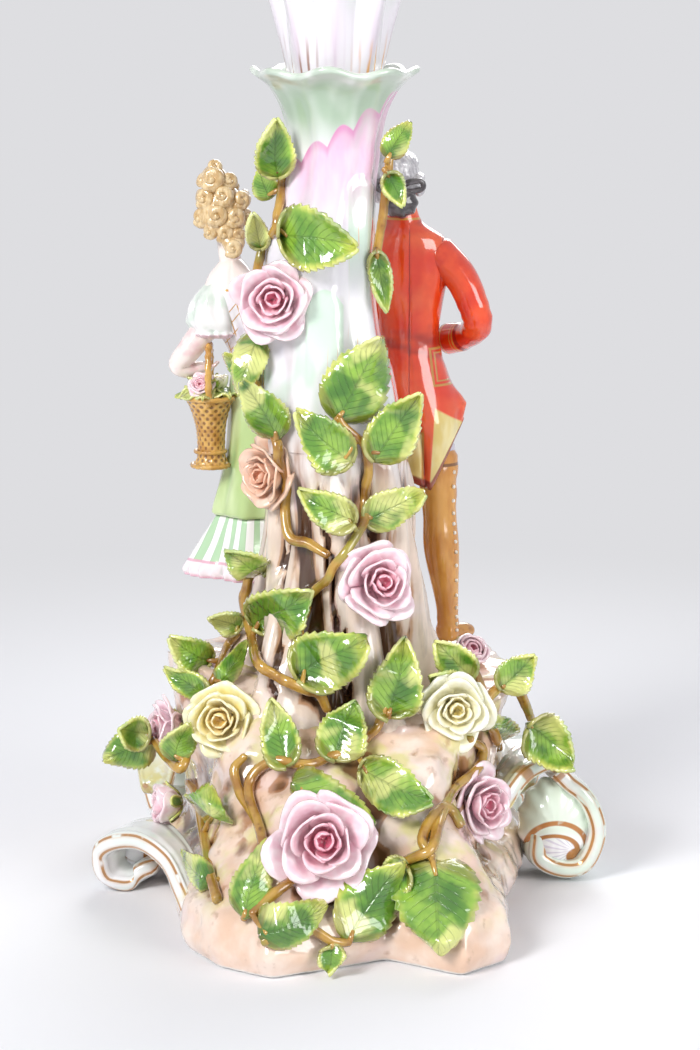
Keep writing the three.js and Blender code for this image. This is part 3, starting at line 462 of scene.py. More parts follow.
def upright(name, rows, columns, shape, per_span):
    """Level rings given as (x, y, z, radius x, radius y). shape(angle, z) scales a radius."""
    rows = eased(rows, per_span)
    rows = np.vstack([rows[0] * [1, 1, 1, 0, 0], rows, rows[-1] * [1, 1, 1, 0, 0]])

    def place(angle, ring):
        x, y, z, across, deep = rows[ring]
        scale = shape(angle, z) if shape else 1
        return x + across * scale * cos(angle), y + deep * scale * sin(angle), z
    return swept(name, len(rows), columns, place)


def limb(name, path, radii, columns, per_span, shape=None):
    """A round limb along a smooth path, closed and rounded at its ends."""
    rows = eased([[*p, r] for p, r in zip(path, radii)], per_span)
    points = [Vector(row[:3]) for row in rows]
    ahead = [(points[min(k + 1, len(points) - 1)] - points[max(k - 1, 0)]).normalized()
             for k in range(len(points))]
    across = Vector((1, 0, 0)) if abs(ahead[0].z) > 0.8 else Vector((0, 0, 1))
    frames = []
    for k, heading in enumerate(ahead):
        across = (across - heading * across.dot(heading)).normalized()
        frames.append((points[k], across.copy(), heading.cross(across), rows[k][3]))
    for end, way in ((0, -1), (-1, 1)):
        centre, side, beside, radius = frames[end]
        cap = [(centre + ahead[end] * way * radius * reach, side, beside, radius * share)
               for reach, share in ((0.35, 0.8), (0.5, 0))]
        frames = cap[::-1] + frames if end == 0 else frames + cap

    def place(angle, ring):
        centre, side, beside, radius = frames[ring]
        scale = shape(angle, ring / (len(frames) - 1)) if shape else 1
        return centre + (side * cos(angle) + beside * sin(angle)) * radius * scale
    return swept(name, len(frames), columns, place)


print("ring tools ready")

# %% [markdown]
# ## The rock mound
# The mound is one cast shell with soft, worn-looking lobes. The solid has its masses in flat facets.
# A copy of it is merged, remeshed into an even skin and smoothed, and then shallow rocky noise is
# pressed into it. The foot stays flat, since the real foot ring is ground flat. How far each point
# lies under its smoothed surroundings is kept as the attribute `hollow`. A wash of brown gathers
# there before firing, and the glazes also use it for painted shade in hollows and painted highlights on
# ridges.


# %% Even skin, rocky noise and hollows
def even_skin(node, name, voxel, passes):
    piece = tidy_mesh(copied(cad[node], name))
    piece.hide_render = False
    applied(piece, "REMESH", mode="VOXEL", voxel_size=voxel * MM)
    applied(piece, "SMOOTH", factor=0.5, iterations=passes)
    return piece


def per_point(piece, what):
    """The place, "co", or the way it faces, "normal", of each point."""
    flat = np.zeros(len(piece.data.vertices) * 3)
    piece.data.vertices.foreach_get(what, flat)
    return flat.reshape(-1, 3)


def keep_hollows(piece, passes=24, depth=0.9):
    """Stores 0 on ridges, 0.5 on even ground and 1 in grooves, for the washes of the glaze and for painted
    shade and highlights.
    """
    edges = np.array([edge.vertices[:] for edge in piece.data.edges])
    start = per_point(piece, "co")
    now = start.copy()
    share = np.bincount(edges.ravel(), minlength=len(start))[:, None].clip(1)
    for _ in range(passes):
        total = np.zeros_like(now)
        np.add.at(total, edges[:, 0], now[edges[:, 1]])
        np.add.at(total, edges[:, 1], now[edges[:, 0]])
        now = total / share
    sunk = ((now - start) * per_point(piece, "normal")).sum(1) / MM
    layer = piece.data.attributes.new("hollow", "FLOAT", "POINT")
    layer.data.foreach_set("value", (0.5 + 0.5 * sunk / depth).clip(0, 1).astype(np.float32))
    return piece


def ridged(point, size, seed):
    """Rocky noise around 0 with soft crests, at a point in millimetres."""
    spot = Vector(point) / size + Vector((seed, seed, seed))
    broad = noise.noise(spot)
    return 1.3 * broad + 0.6 * (0.5 - abs(noise.noise(spot * 2.1))) - 0.15


mound = even_skin("rock_mound", "mound_modelled", 1.5, 8)
outward = per_point(mound, "normal")
lowest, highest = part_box("rock_mound")
for point, normal in zip(mound.data.vertices, outward):
    where = point.co / MM
    hold = clamp((where.z - 1) / 8)
    press = (1.5 * ridged(where, 17, 3.1) + 0.5 * ridged(where, 6, 8.4)) * hold
    point.co += Vector(normal) * press * MM
    for axis in range(3):
        point.co[axis] = min(max(point.co[axis], lowest[axis]), highest[axis])
keep_hollows(mound)
print("mound", len(mound.data.vertices), "points")

# %% [markdown]
# The glaze of the mound is a warm pinkish beige. Brown is washed into its hollows and darkens to painted
# shade in the deepest ones, and moss-green and straw-yellow patches are dabbed on its shoulders. The foot
# ring is bare white biscuit.

# %% Rock glaze
rock = Finish("rock_glaze", (246, 226, 212), (230, 194, 168), (16, 4), (0.35, 0.68))
z = rock.axes()[2]
rock.wash((230, 208, 212), rock.clouds(22, 2, (1, 1, 1.6)).between(0.52, 0.7) * 0.5)
moss = rock.clouds(19, 3, (1, 1.3, 1)).between(0.5, 0.62) * z.between(10, 26)
rock.wash((218, 212, 130), moss * 0.7)
wash = rock.clouds(12, 3, (1, 1, 0.6)).between(0.4, 0.6)
# Brown wash in the hollows; in the deepest hollows it darkens to painted shade.
rock.wash((176, 122, 82), wash * rock.sunk(0.44, 0.58) * 0.85)
rock.wash((112, 72, 44), rock.sunk(0.58, 0.9) * 0.9)
rock.wash((150, 108, 76), rock.clouds(5, 5).between(0.6, 0.74) * 0.4)
rock.wash((240, 236, 230), z.between(1.6, 0.6))
dressed(mound, rock.glaze())
finished(mound, "stand", "rock", "rock_mound")

# %% [markdown]
# ## The trunk and the fluted stem
# The trunk is a cast tube whose bark stands in deep upright folds. Above its joint it turns into a
# smooth white stem with soft flutes. Both are swept as rings that lean as the real stem does. The
# bark's folds and cracks are waves over the angle, and they fade out where the bark ends.

# %% Lean and width of the stem
LEAN = [(60, 0), (123, 1.5), (159, -0.6), (182, -2.8), (200, -5), (226, -5.2), (244, -2.2), (258, 0)]
WIDTH = [(58, 40), (68, 35), (90, 30.8), (102, 28.8), (124, 26.2), (140, 25.2), (159, 24.6),
         (182, 23.4), (198, 20.4), (228, 18.4), (244, 16), (256, 15.2), (262, 15.4), (277, 18.8)]
TRUNK_TOP, STEM_TOP = 158, 252


smooth_lean = eased(LEAN, 6)
smooth_width = eased(WIDTH, 6)


def stem_centre(height):
    return float(np.interp(height, smooth_lean[:, 0], smooth_lean[:, 1]))


def stem_radius(height):
    return float(np.interp(height, smooth_width[:, 0], smooth_width[:, 1]))


mound_tree = BVHTree.FromObject(mound, bpy.context.evaluated_depsgraph_get())


def ground(x, y):
    hit = mound_tree.ray_cast(Vector((x, y, 200)) * MM, Vector((0, 0, -1)))[0]
    return hit.z / MM if hit else 60


# %% Bark and flutes
def flute(angle, height):
    ripple = 0.04 * cos(6 * angle + height / 60) + 0.026 * cos(10 * angle)
    return 1 + ripple + 0.012 * grain(angle, 4, height / 12)


def bark(angle, height):
    """Deep folds, with cracks that wander as they climb. They run out into the flutes of the stem."""
    depth = np.interp(height, [60, 150], [0.18, 0.11])
    drift = (height - 60) / 130
    fold = cos(6 * (angle + drift)) + 0.4 * cos(3 * angle - 2 * drift)
    spot = Vector(round_axis(9, angle, height / 26))
    crack = abs(noise.noise(spot * 0.55)) ** 0.6
    fine = grain(angle, 30, height / 20)
    groove = -0.15 * exp(-((sin(4.5 * (angle + 0.6 * drift) + 0.5 * fine) / 0.2) ** 2))
    rough = 1 + depth * fold + 0.09 * (crack - 0.5) + 0.014 * fine + groove
    share = float(np.interp(height, [138, TRUNK_TOP], [0, 1]))
    return rough + (flute(angle, height) - rough) * share * share


def run_out(made):
    """The same beige on both sides of the joint, so that the bark runs out into the flutes."""
    z = made.axes()[2]
    streak = made.clouds(7, 3, (1, 1, 0.2)).between(0.36, 0.62)
    shade = made.mix((240, 233, 232), (182, 144, 122), streak)
    shade = made.mix(shade, (238, 234, 238), z.between(156, 174))
    made.wash(shade, z.between(142, 155) * z.between(182, 162))


TRUNK_RINGS = 56


def trunk_place(angle, ring):
    height = 62 + (TRUNK_TOP - 62) * max(0, ring - 2) / (TRUNK_RINGS - 6)
    radius = stem_radius(height) * bark(angle, height)
    if ring == 0:
        radius, height = 18, 70
    elif ring < 3:
        radius *= 1.04
    elif ring > TRUNK_RINGS - 4:
        radius, height = [(0.985, TRUNK_TOP), (0.8, TRUNK_TOP + 0.2), (0.56, TRUNK_TOP)][
            ring - TRUNK_RINGS + 3]
        radius *= stem_radius(TRUNK_TOP)
    x = stem_centre(height) + radius * cos(angle)
    y = radius * sin(angle)
    if 0 < ring < 12:
        floor_here = ground(x, y) - 1.5
        height = max(height, floor_here + (ring - 1) * 1.2)
    return x, y, height


trunk = swept("trunk_modelled", TRUNK_RINGS, 160, trunk_place)
keep_hollows(trunk, 20, 0.7)
wood = Finish("bark_glaze")
z = wood.axes()[2]
streak = wood.clouds(5, 4, (1, 1, 0.14))
wood.ground((236, 208, 184), (198, 154, 120), streak.between(0.35, 0.62))
wood.wash((218, 196, 206), wood.clouds(15).between(0.52, 0.66) * 0.6)
wood.wash((122, 78, 46), wood.clouds(6, 4, (1, 1, 0.2)).between(0.52, 0.62) * 0.8)
# Brown in the bark's grooves, deepened to near-black painted shade, and darker towards the bottom.
bark_groove_shade = wood.attribute("hollow") + 0.06 * z.between(110, 70)
wood.wash((70, 40, 22), bark_groove_shade.between(0.5, 0.7) * 0.95)
# Painted highlight: pale beige on the ridges of the bark.
wood.wash((248, 236, 224), wood.sunk(0.42, 0.2) * 0.6)
run_out(wood)
dressed(trunk, wood.glaze(0.22))
finished(trunk, "stand", "bark", "tree_trunk", sharp=70)


# %% Fluted stem
STEM_RINGS = 64
SHEATHS = [(9, 208, 251, 4.6), (-3.5, 176, 214, 6.6)]  # middle, foot, top and half width


def sheath(x, z):
    """1 on the raised sheaths that stand on the rear of the stem, 0 beside them."""
    most = 0
    for middle, foot, top, half in SHEATHS:
        off = (x - middle) / half
        lid = top - 0.9 * half * off * off - z
        side = (1 - abs(off)) * half
        most = max(most, clamp(min(lid, side) / 0.8) * clamp((z - foot) / 26))
    return most


def stem_point(angle, height):
    radius = stem_radius(height) * flute(angle, height)
    x = stem_centre(height) + radius * cos(angle)
    lift = 0.9 * sheath(x, height) if sin(angle) < 0 else 0
    x += lift * cos(angle)
    return x, (radius + lift) * sin(angle), height


def stem_place(angle, ring):
    height = TRUNK_TOP - 1 + (STEM_TOP + 1 - TRUNK_TOP) * min(ring, STEM_RINGS - 2) / (STEM_RINGS - 2)
    if ring < STEM_RINGS - 1:
        return stem_point(angle, height)
    return stem_centre(height) + 9 * cos(angle), 9 * sin(angle), height


stem = swept("stem_modelled", STEM_RINGS, 144, stem_place)
keep_hollows(stem, 20, 0.5)

# %% [markdown]
# The stem is painted like a flower stalk. A pink petal with a scalloped upper edge is laid round the
# neck, the two raised sheaths are mint, and thin orange strokes follow the flutes. Each of them is a
# mask made from the height and the way across, and the neck's petal runs over the joint onto the
# collar, so both finishes use the same function.


# %% Pink petal and stem glaze
def neck_petal(made):
    x, y, z = made.axes()
    lap = (x * 0.36 + 0.9).sine().size()
    edge = x * 0.62 + lap * 4.4 + 262.5
    inside = (edge - z).between(-0.3, 0.5) * y.between(9, 4)
    fade = z.between(228, 258)
    brush = made.clouds(7, 3, (1, 1, 0.25)).between(0.3, 0.62)
    made.wash((232, 178, 212), inside * fade * (brush * 0.5 + 0.35))
    made.wash((214, 128, 180), (edge - z).between(4.4, 0.3) * inside * (brush * 0.4 + 0.35))


def sheath_mask(x, z, middle, foot, top, half):
    off = (x - middle) / half
    lid = top - 0.9 * half * off * off - z
    return lid.between(0, 0.8) * off.size().between(1.05, 0.9) * z.between(foot, foot + 26)


stem_finish = Finish("stem_glaze", (247, 245, 247), (226, 222, 230), (20, 2, (1, 1, 0.3)), (0.4, 0.65))
x, y, z = stem_finish.axes()
rear = y.between(3, -1)
mint = (sheath_mask(x, z, *SHEATHS[0]) + sheath_mask(x, z, *SHEATHS[1])).least(1) * rear
low_mint = z.between(206, 186) * z.between(158, 172)
low_mint = low_mint * stem_finish.clouds(17, 2, (1, 1, 0.6)).between(0.5, 0.62)
stem_finish.wash((196, 226, 200), mint * 0.72)
stem_finish.wash((190, 222, 196), low_mint * 0.6)
strokes = (x * 1.9 + (z * 0.05).sine() * 1.4).sine().between(0.955, 1.0)
broken = stem_finish.clouds(13, 2, (1, 1, 0.3)).between(0.56, 0.62)
strokes = strokes * broken * z.between(180, 200) * z.between(246, 236) * x.size().between(12, 9)
stem_finish.wash((230, 150, 96), strokes * 0.8)
# Brown towards the foot of the stem, laid into the hollows of the flutes as painted shade.
stem_finish.wash((150, 112, 96), stem_finish.sunk(0.58, 0.9) * z.between(206, 160) * 0.75)
run_out(stem_finish)
neck_petal(stem_finish)
dressed(stem, stem_finish.glaze())
finished(stem, "stand", "white", "fluted_stem", sharp=60)

# %% [markdown]
# ## The collar
# The collar opens like a flower with a thick lip, rolled over and pinched into scallops. It is swept
# as one closed wall: up the outside, over the lip and down into the socket. Its foot takes the
# stem's own outline, so that no step shows at the joint.

# %% Collar
COLLAR = [  # height, radius, how much of the scallop it takes
    (252, 15.4, 0), (258, 15.2, 0), (266, 16.2, 0.1), (273, 18, 0.25), (278.5, 20.8, 0.5),
    (282.2, 24, 0.8), (284.2, 26.6, 1), (285.4, 28, 1), (286.8, 27.8, 1), (287.2, 26.4, 1),
    (285.4, 23.6, 0.8), (281, 19.8, 0.5), (276, 17.4, 0.2), (272.6, 16.2, 0), (272, 15.4, 0),
    (272, 11.3, 0), (262, 11.3, 0), (252, 11.3, 0)]
collar_rows = eased(COLLAR, 3)


def collar_place(angle, ring):
    if ring == len(collar_rows):
        ring = 0
    height, radius, lobed = collar_rows[ring]
    if ring < 6:
        return stem_point(angle, height)
    wave = 0.7 * cos(8 * angle + 0.6) + 0.3 * cos(5 * angle + 2)
    radius *= 1 + 0.045 * lobed * wave
    height += 1.3 * lobed * wave - 0.7 * lobed
    if ring < 30:
        steady = min(1, (ring - 5) / 6)
        radius += steady * 0.3 * (1 - lobed) * cos(16 * angle + 0.4)
        radius *= 1 + (flute(angle, height) - 1) * max(0, 1 - (ring - 5) / 8)
    return round_axis(radius, angle, height)


collar = swept("collar_modelled", len(collar_rows) + 1, 144, collar_place)
keep_hollows(collar, 14, 0.6)
# The deep celadon ground is partly the collar's own tint and partly painted shade of its underside.
celadon = Finish("collar_glaze", (190, 204, 188), (226, 231, 224), (11, 2, (1, 1, 0.5)), (0.42, 0.66))
z = celadon.axes()[2]
# Painted shade: deeper celadon in the collar's hollows.
celadon.wash((160, 184, 156), celadon.sunk(0.55, 0.9) * 0.75)
celadon.wash((244, 241, 245), z.between(272, 256) * 0.85)
neck_petal(celadon)
dressed(collar, celadon.glaze())
finished(collar, "stand", "mint", "scalloped_collar", sharp=60)

# %% [markdown]
# ## The garland
# Twigs, leaves and roses were laid on wet, so each of them follows what lies under it. `skin` finds
# that surface: it looks along a level line from the rear or the front onto the mound, the trunk, the
# stem and the collar. Twigs and leaves are written down as they appear in elevation, and get their
# depth from it.

# %% What the garland lies on
def tree_of(pieces):
    points, faces = [], []
    for piece in pieces:
        start = len(points)
        points += [p.co.copy() for p in piece.data.vertices]
        faces += [[start + k for k in face.vertices] for face in piece.data.polygons]
    return BVHTree.FromPolygons(points, faces)


stand_tree = tree_of([mound, trunk, stem, collar])
TWIG = 1.9  # radius
FAR = 300
STATIONS = (0.04, 0.32, 0.6, 0.8, 1.0)  # where a leaf feels for the stand under it


def look(x, z, side):
    return stand_tree.ray_cast(Vector((x, FAR * side, z)) * MM, Vector((0, -side, 0)))


def skin(x, z, side=-1, y=None):
    """Where the stand is met, and which way it faces there."""
    level = Vector((0, side, 0.25)).normalized()
    if y is not None:
        return Vector((x, y, z)), level
    point, normal, _, _ = look(x, z, side)
    if point is None:
        return Vector((x, 0, z)), level
    return point / MM, normal.lerp(level, 1 - 0.8 * abs(normal.y)).normalized()


def twig_path(places, side):
    stops = []
    for k, stop in enumerate(places):
        stop = list(stop)
        if k and len(stop) == len(places[k - 1]):
            before = places[k - 1]
            if hypot(stop[0] - before[0], stop[1] - before[1]) > 9:
                stops.append([(a + b) / 2 for a, b in zip(stop, before)])
        stops.append(stop)
    path = []
    for x, z, *rest in stops:
        lift = rest[0] if rest else TWIG + 0.4
        foot, facing = skin(x, z, side, rest[1] if len(rest) > 1 else None)
        path.append(foot + facing * lift)
    return path


# %% [markdown]
# A leaf starts as a flat grid. Its long edges are pushed in to a pointed outline with saw teeth, a
# furrow runs down its middle, small furrows run to the teeth, and its blade is cupped. Solidify then
# gives it the thickness of pressed porcelain. The first leaf is the pattern for all others: each copy
# has its own mesh, is laid over the stand, and gets its own curl.

# %% One leaf
TEETH = 11
bpy.ops.mesh.primitive_grid_add(x_subdivisions=44, y_subdivisions=10, size=2)
leaf_pattern = bpy.context.object
leaf_pattern.name = "leaf_pattern"
leaf_pattern.data.uv_layers[0].name = "Run"


def leaf_width(t):
    """Half width of the blade, as a share, from its stalk at 0 to its tip at 1."""
    swell = sin(pi * min(1, t ** 0.62)) ** 0.75 if t < 1 else 0
    return max(0.02, swell)


def leaf_shape(t, w, teeth=1.0):
    """Place along and across the leaf, and height over its rest plane, as shares."""
    saw = (t * TEETH) % 1
    tooth = 1 + teeth * (0.12 * saw - 0.05) * abs(w) ** 4 * sin(pi * t) ** 0.4
    forward = 0.024 * saw * abs(w) ** 4
    furrow = -0.05 * exp(-(w / 0.12) ** 2)
    side_vein = ((t - 0.3 * abs(w)) * TEETH) % 1
    ripple = -0.034 * exp(-((side_vein - 0.5) / 0.16) ** 2) * min(1, abs(w) * 3)
    return t + forward, w * leaf_width(t) * tooth, furrow + ripple


print("leaf pattern", len(leaf_pattern.data.polygons), "faces")


# %% Lay a leaf
def laid_leaf(row, near_points, side, chance):
    x, z, degrees, length, width, tilt, *given = row
    free = given[0] if given else None
    heading = Vector((cos(radians(degrees)), 0, sin(radians(degrees))))
    across = Vector((-heading.z, 0, heading.x))
    under = skin(x, z, side, free)[0].y
    stations = []
    for t in STATIONS:
        half = width / 2 * leaf_width(t)
        spine = Vector((x, 0, z)) + heading * length * t
        depths = []
        for offset in (-half, 0, half):
            spot = spine + across * offset
            met = look(spot.x, spot.z, side)[0] if free is None else None
            depth = met.y / MM if met else under
            depths.append(free if free is not None else min(max(depth, under - 9), under + 9))
        under = side * max(depth * side for depth in depths)
        rise = side * (TWIG + 0.5 + length * t * sin(radians(tilt)))
        stations.append([depths[k] + (under - depths[k]) * hold + rise
                         for k, hold in enumerate((0.5, 1, 0.5))])
    stations = np.array(stations)
    cup, droop = chance.choice((-0.25, 0.35, 0.6)) + chance.uniform(-0.1, 0.1), chance.uniform(-0.35, 0.7)
    swirl, twist, phase = chance.uniform(-0.3, 0.3), chance.uniform(-0.5, 0.5), chance.uniform(0, 6)
    leaf = copied(leaf_pattern, "leaf")
    for point, rest_point in zip(leaf.data.vertices, leaf_pattern.data.vertices):
        t, w = (rest_point.co.x + 1) / 2, rest_point.co.y
        along_share, across_share, height = leaf_shape(t, w)
        left, middle, right = [np.interp(t, STATIONS, stations[:, k]) for k in range(3)]
        edge = left if w < 0 else right
        depth = middle + (edge - middle) * abs(w)
        wave = 0.22 * sin(8 * t + phase + (1.7 if w > 0 else 0)) * w * w
        curl = cup * w * w * (1 - 0.4 * t) + droop * t ** 3 + twist * w * t + wave
        sway = swirl * t * t * width
        place = (Vector((x, 0, z)) + heading * length * along_share
                 + across * (across_share * width / 2 + sway))
        place.y = depth + side * (height + curl) * width / 2
        point.co = place * MM
    applied(leaf, "SOLIDIFY", thickness=1.15 * MM, offset=0)
    tidy_mesh(leaf, merge=False)
    root = Vector((x, 0, z)) + heading * length * 0.12
    root.y = float(np.interp(0.12, STATIONS[:2], stations[:2, 1]))
    near = min(near_points, key=lambda p: (p - root).length)
    if (near - root).length < 2.5:
        near = root - heading * 3
    middle = (near + root) / 2 + Vector((0, side * 0.8, 0))
    stalk = limb("stalk", [near, middle, root], [1.2, 0.95, 0.7], 8, 3)
    return leaf, stalk


# %% [markdown]
# Leaves are painted over their own UV map: a fresh green blade, paler veins, and tips and teeth in
# yellow-green. The vine is a golden brown glaze that pools darker in its bends.

# %% Leaf and vine glaze
foliage = Finish("leaf_glaze", (92, 142, 44), (142, 182, 66), (9, 3), (0.38, 0.64))
u, w = foliage.uv()
middle = (w - 0.5).size()
vein_saw = u.maths("FRACT", (u - middle * 0.6) * TEETH)
side_veins = (vein_saw - 0.5).size().between(0.11, 0.02) * middle.between(0.46, 0.2)
midrib = middle.between(0.035, 0.008)
deep = foliage.clouds(12, 2).between(0.48, 0.62) * middle.between(0.44, 0.2)
foliage.wash((62, 112, 36), deep * 0.8)
pale_rim = (middle.between(0.36, 0.5) + u.between(0.7, 1.0)).least(1)
foliage.wash((220, 222, 108), pale_rim * foliage.clouds(13).between(0.36, 0.54) * 0.9)
foliage.wash((226, 228, 142), foliage.clouds(20).between(0.52, 0.62) * 0.8)
foliage.wash((232, 236, 180), middle.between(0.475, 0.5) * 0.35)
foliage.wash((58, 96, 24), (side_veins * 0.3 + midrib * 0.7).least(1) * 0.35)
foliage.wash((120, 100, 34), (u - middle * 0.5).between(0.06, 0.0) * 0.5)
leaf_glaze = foliage.glaze(0.14, extra=(side_veins + midrib) * -0.22)

vine = Finish("vine_glaze", (190, 148, 62), (156, 108, 40), (8, 3), (0.4, 0.62))
vine.wash((150, 152, 62), vine.clouds(19).between(0.55, 0.68) * 0.7)
vine.wash((98, 64, 28), vine.clouds(4, 2).between(0.62, 0.74) * 0.6)
vine_glaze = vine.glaze(0.16)

# %% [markdown]
# ### Where the briars run
# Each briar is written as twigs, with a place across and up for each bend, and leaves. A leaf has
# the place of its root, the way it points, its length, its width and how far it lifts off. A twig or
# a leaf that stands free of the stand also has its depth.

# %% Briars
BRIARS = {  # a leaf: across, up, degrees, length, width, lift in degrees, and depth if it stands free
    "briar_collar": {
        "twigs": [[(-18, 252), (-18, 242), (-19, 233), (-24, 227), (-26, 221), (-27, 213), (-24, 200),
                   (-26, 190)]],
        "leaves": [(-19, 250, 102, 20, 14, 15), (-19, 231, 8, 26, 22, 16), (-26, 197, -112, 20, 12, 15),
                   (-25, 226, 104, 13, 8, 20), (-22, 243, 119, 11, 9, 10)]},
    "briar_neck_right": {
        "twigs": [[(14, 224, 1, -10), (16, 236, 1, -9), (17.5, 248, 1, -8), (18.5, 258, 1, -8)]],
        "leaves": [(18, 257, 66, 14, 9, 10, -8), (14, 226, -82, 21, 8, 6, -10),
                   (17.5, 252, -58, 12, 8, 16, -8)]},
    "briar_stem_left": {
        "twigs": [[(-25, 190), (-27, 181), (-25, 168), (-19, 162, 3), (-17, 149, 3), (-18, 137, 3),
                   (-16, 129, 3), (-8, 127, 3), (-2, 124)]],
        "leaves": [(-19, 163, 113, 24, 14, 22), (-27, 180, 132, 15, 9, 12)]},
    "briar_stem_right": {
        "twigs": [[(1, 171), (3, 168), (9, 161), (12, 153), (11, 142), (9, 135), (3, 125), (-2, 116),
                   (-9, 108), (-12, 99), (-13, 88)]],
        "leaves": [(1, 170, 62, 32, 23, 12), (13, 156, 56, 29, 17, 14), (6, 156, 146, 26, 17, 14),
                   (7, 136, 153, 22, 13, 12), (10, 135, 27, 23, 14, 14)]},
    "briar_trunk_left": {
        "twigs": [[(-25, 115), (-30, 111), (-32, 102), (-28, 90, 4), (-21, 82, 5), (-12, 78, 5),
                   (-6, 76, 5), (-4, 70, 4)]],
        "leaves": [(-25, 113, 128, 17, 13, 14), (-29, 95, 43, 28, 20, 20), (-13, 83, 39, 28, 22, 16)]},
    "briar_trunk_foot": {
        "twigs": [[(17, 76), (15, 66), (7, 59), (-8, 57), (-20, 58), (-26, 54), (-28, 48), (-24, 40),
                   (-22, 33), (-24, 40), (-31, 47), (-33, 54), (-30, 59)],
                  [(-26, 19), (-22, 22), (-14, 28)]],
        "leaves": [(18, 70, 74, 26, 19, 16), (0, 58, 74, 20, 17, 24), (-16, 58, 107, 21, 13, 20),
                   (8, 56, -12, 25, 16, 20), (-14, 55, -24, 30, 15, 14), (-29, 19, 79, 21, 13, 24),
                   (-24, 16, 20, 22, 15, 20)]},
    "briar_base_left": {
        "twigs": [[(-38, 20), (-43, 28), (-48, 33), (-52, 35)]],
        "leaves": [(-44, 33, 64, 17, 20, 22), (-40, 24, 175, 12, 10, 30)]},
    "briar_base_rear": {
        "twigs": [[(-22, 13), (-14, 15), (-8, 15), (-1, 11), (4, 10)]],
        "leaves": [(4, 11, 56, 30, 20, 16), (-1, 11, -82, 9, 9, 14)]},
    "briar_base_right": {
        "twigs": [[(45, 60), (50, 54), (48, 49), (40, 46), (35, 42), (32, 36), (23, 31)],
                  [(42, 38), (38, 43, 3), (33, 43, 3), (29, 38, 2), (32, 34, 1)]],
        "leaves": [(33, 33, -90, 24, 29, 16), (24, 32, -150, 12, 12, 24)]},
    "briar_right": {
        "twigs": [[(46, 84, 1, -14), (49.5, 78, 1, -20), (52, 71, 1, -27), (52, 64), (56, 54), (58, 45)],
                  [(52, 73, 1, -25), (57, 76, 1, -20), (63, 74, 1, -13), (66, 68, 1, -8),
                   (69, 60, 1, -3)]],
        "leaves": [(47, 80, 133, 19, 13, 14, -20), (57, 76, 45, 17, 13, 10, -20),
                   (67, 60, -33, 20, 18, 8, -7), (57, 49, 96, 20, 18, 14),
                   (41, 78, 140, 10, 10, 14, -24)]},
    "briar_left": {
        "twigs": [[(-34, 90), (-41, 80), (-45, 70), (-49, 60), (-52, 52, 1, -36), (-58, 52, 1, -24),
                   (-64, 54, 1, -8)]],
        "leaves": [(-43, 83, 147, 18, 12, 20), (-44, 74, 144, 17, 10, 26),
                   (-64, 54, -161, 18, 16, 8, -8), (-65, 56, 166, 11, 13, 20, -6),
                   (-55, 54, 80, 15, 12, 10, -32), (-40, 79, 53, 14, 8, 20), (-33, 93, 146, 12, 10, 24)]},
    "briar_front_left": {
        "side": 1,
        "twigs": [[(-58, 46), (-46, 38), (-32, 34), (-18, 34)]],
        "leaves": [(-52, 42, 100, 18, 14, 25), (-40, 36, -70, 20, 16, 25), (-24, 34, 80, 20, 16, 25)]},
    "briar_front_right": {
        "side": 1,
        "twigs": [[(58, 46), (46, 38), (32, 34), (18, 34)]],
        "leaves": [(52, 42, 80, 18, 14, 25), (40, 36, -110, 20, 16, 25), (24, 34, 100, 20, 16, 25)]},
}


def knobbly(angle, along_share):
    return 1 + 0.12 * grain(angle, 2, along_share * 23)


chance = random.Random(7)
for name, briar in BRIARS.items():
    side = briar.get("side", -1)
    woody, leafy = [], []
    paths = [twig_path(places, side) for places in briar["twigs"]]
    near_points = [Vector(row[:3]) for path in paths for row in eased([list(p) for p in path], 4)]
    for path in paths:
        woody.append(limb("twig", path, [TWIG] * (len(path) - 1) + [TWIG * 0.8], 10, 5, knobbly))
    for row in briar["leaves"]:
        leaf, stalk = laid_leaf(row, near_points, side, chance)
        leafy.append(leaf)
        woody.append(stalk)
    for piece in woody:
        dressed(piece, vine_glaze)
    for piece in leafy:
        dressed(piece, leaf_glaze)
    finished(joined(woody + leafy, name + "_modelled"), "stand", "leaf", name)

# %% [markdown]
# ## The roses
# A porcelain rose is built from the heart out: a rolled bud, then whorls of petals, each pressed thin
# between finger and thumb so that its rim is ragged and curls over. One petal is a grid bent over a
# ball: `open_by` tells how far its rim leans out. A rose is four or five whorls of them. Pale glaze
# covers the outside, and deeper colour is dabbed into the heart, which the attribute `heart` marks.

# %% One petal
bpy.ops.mesh.primitive_grid_add(x_subdivisions=14, y_subdivisions=12, size=2)
petal_pattern = bpy.context.object
petal_pattern.name = "petal_pattern"
petal_pattern.data.uv_layers[0].name = "Run"


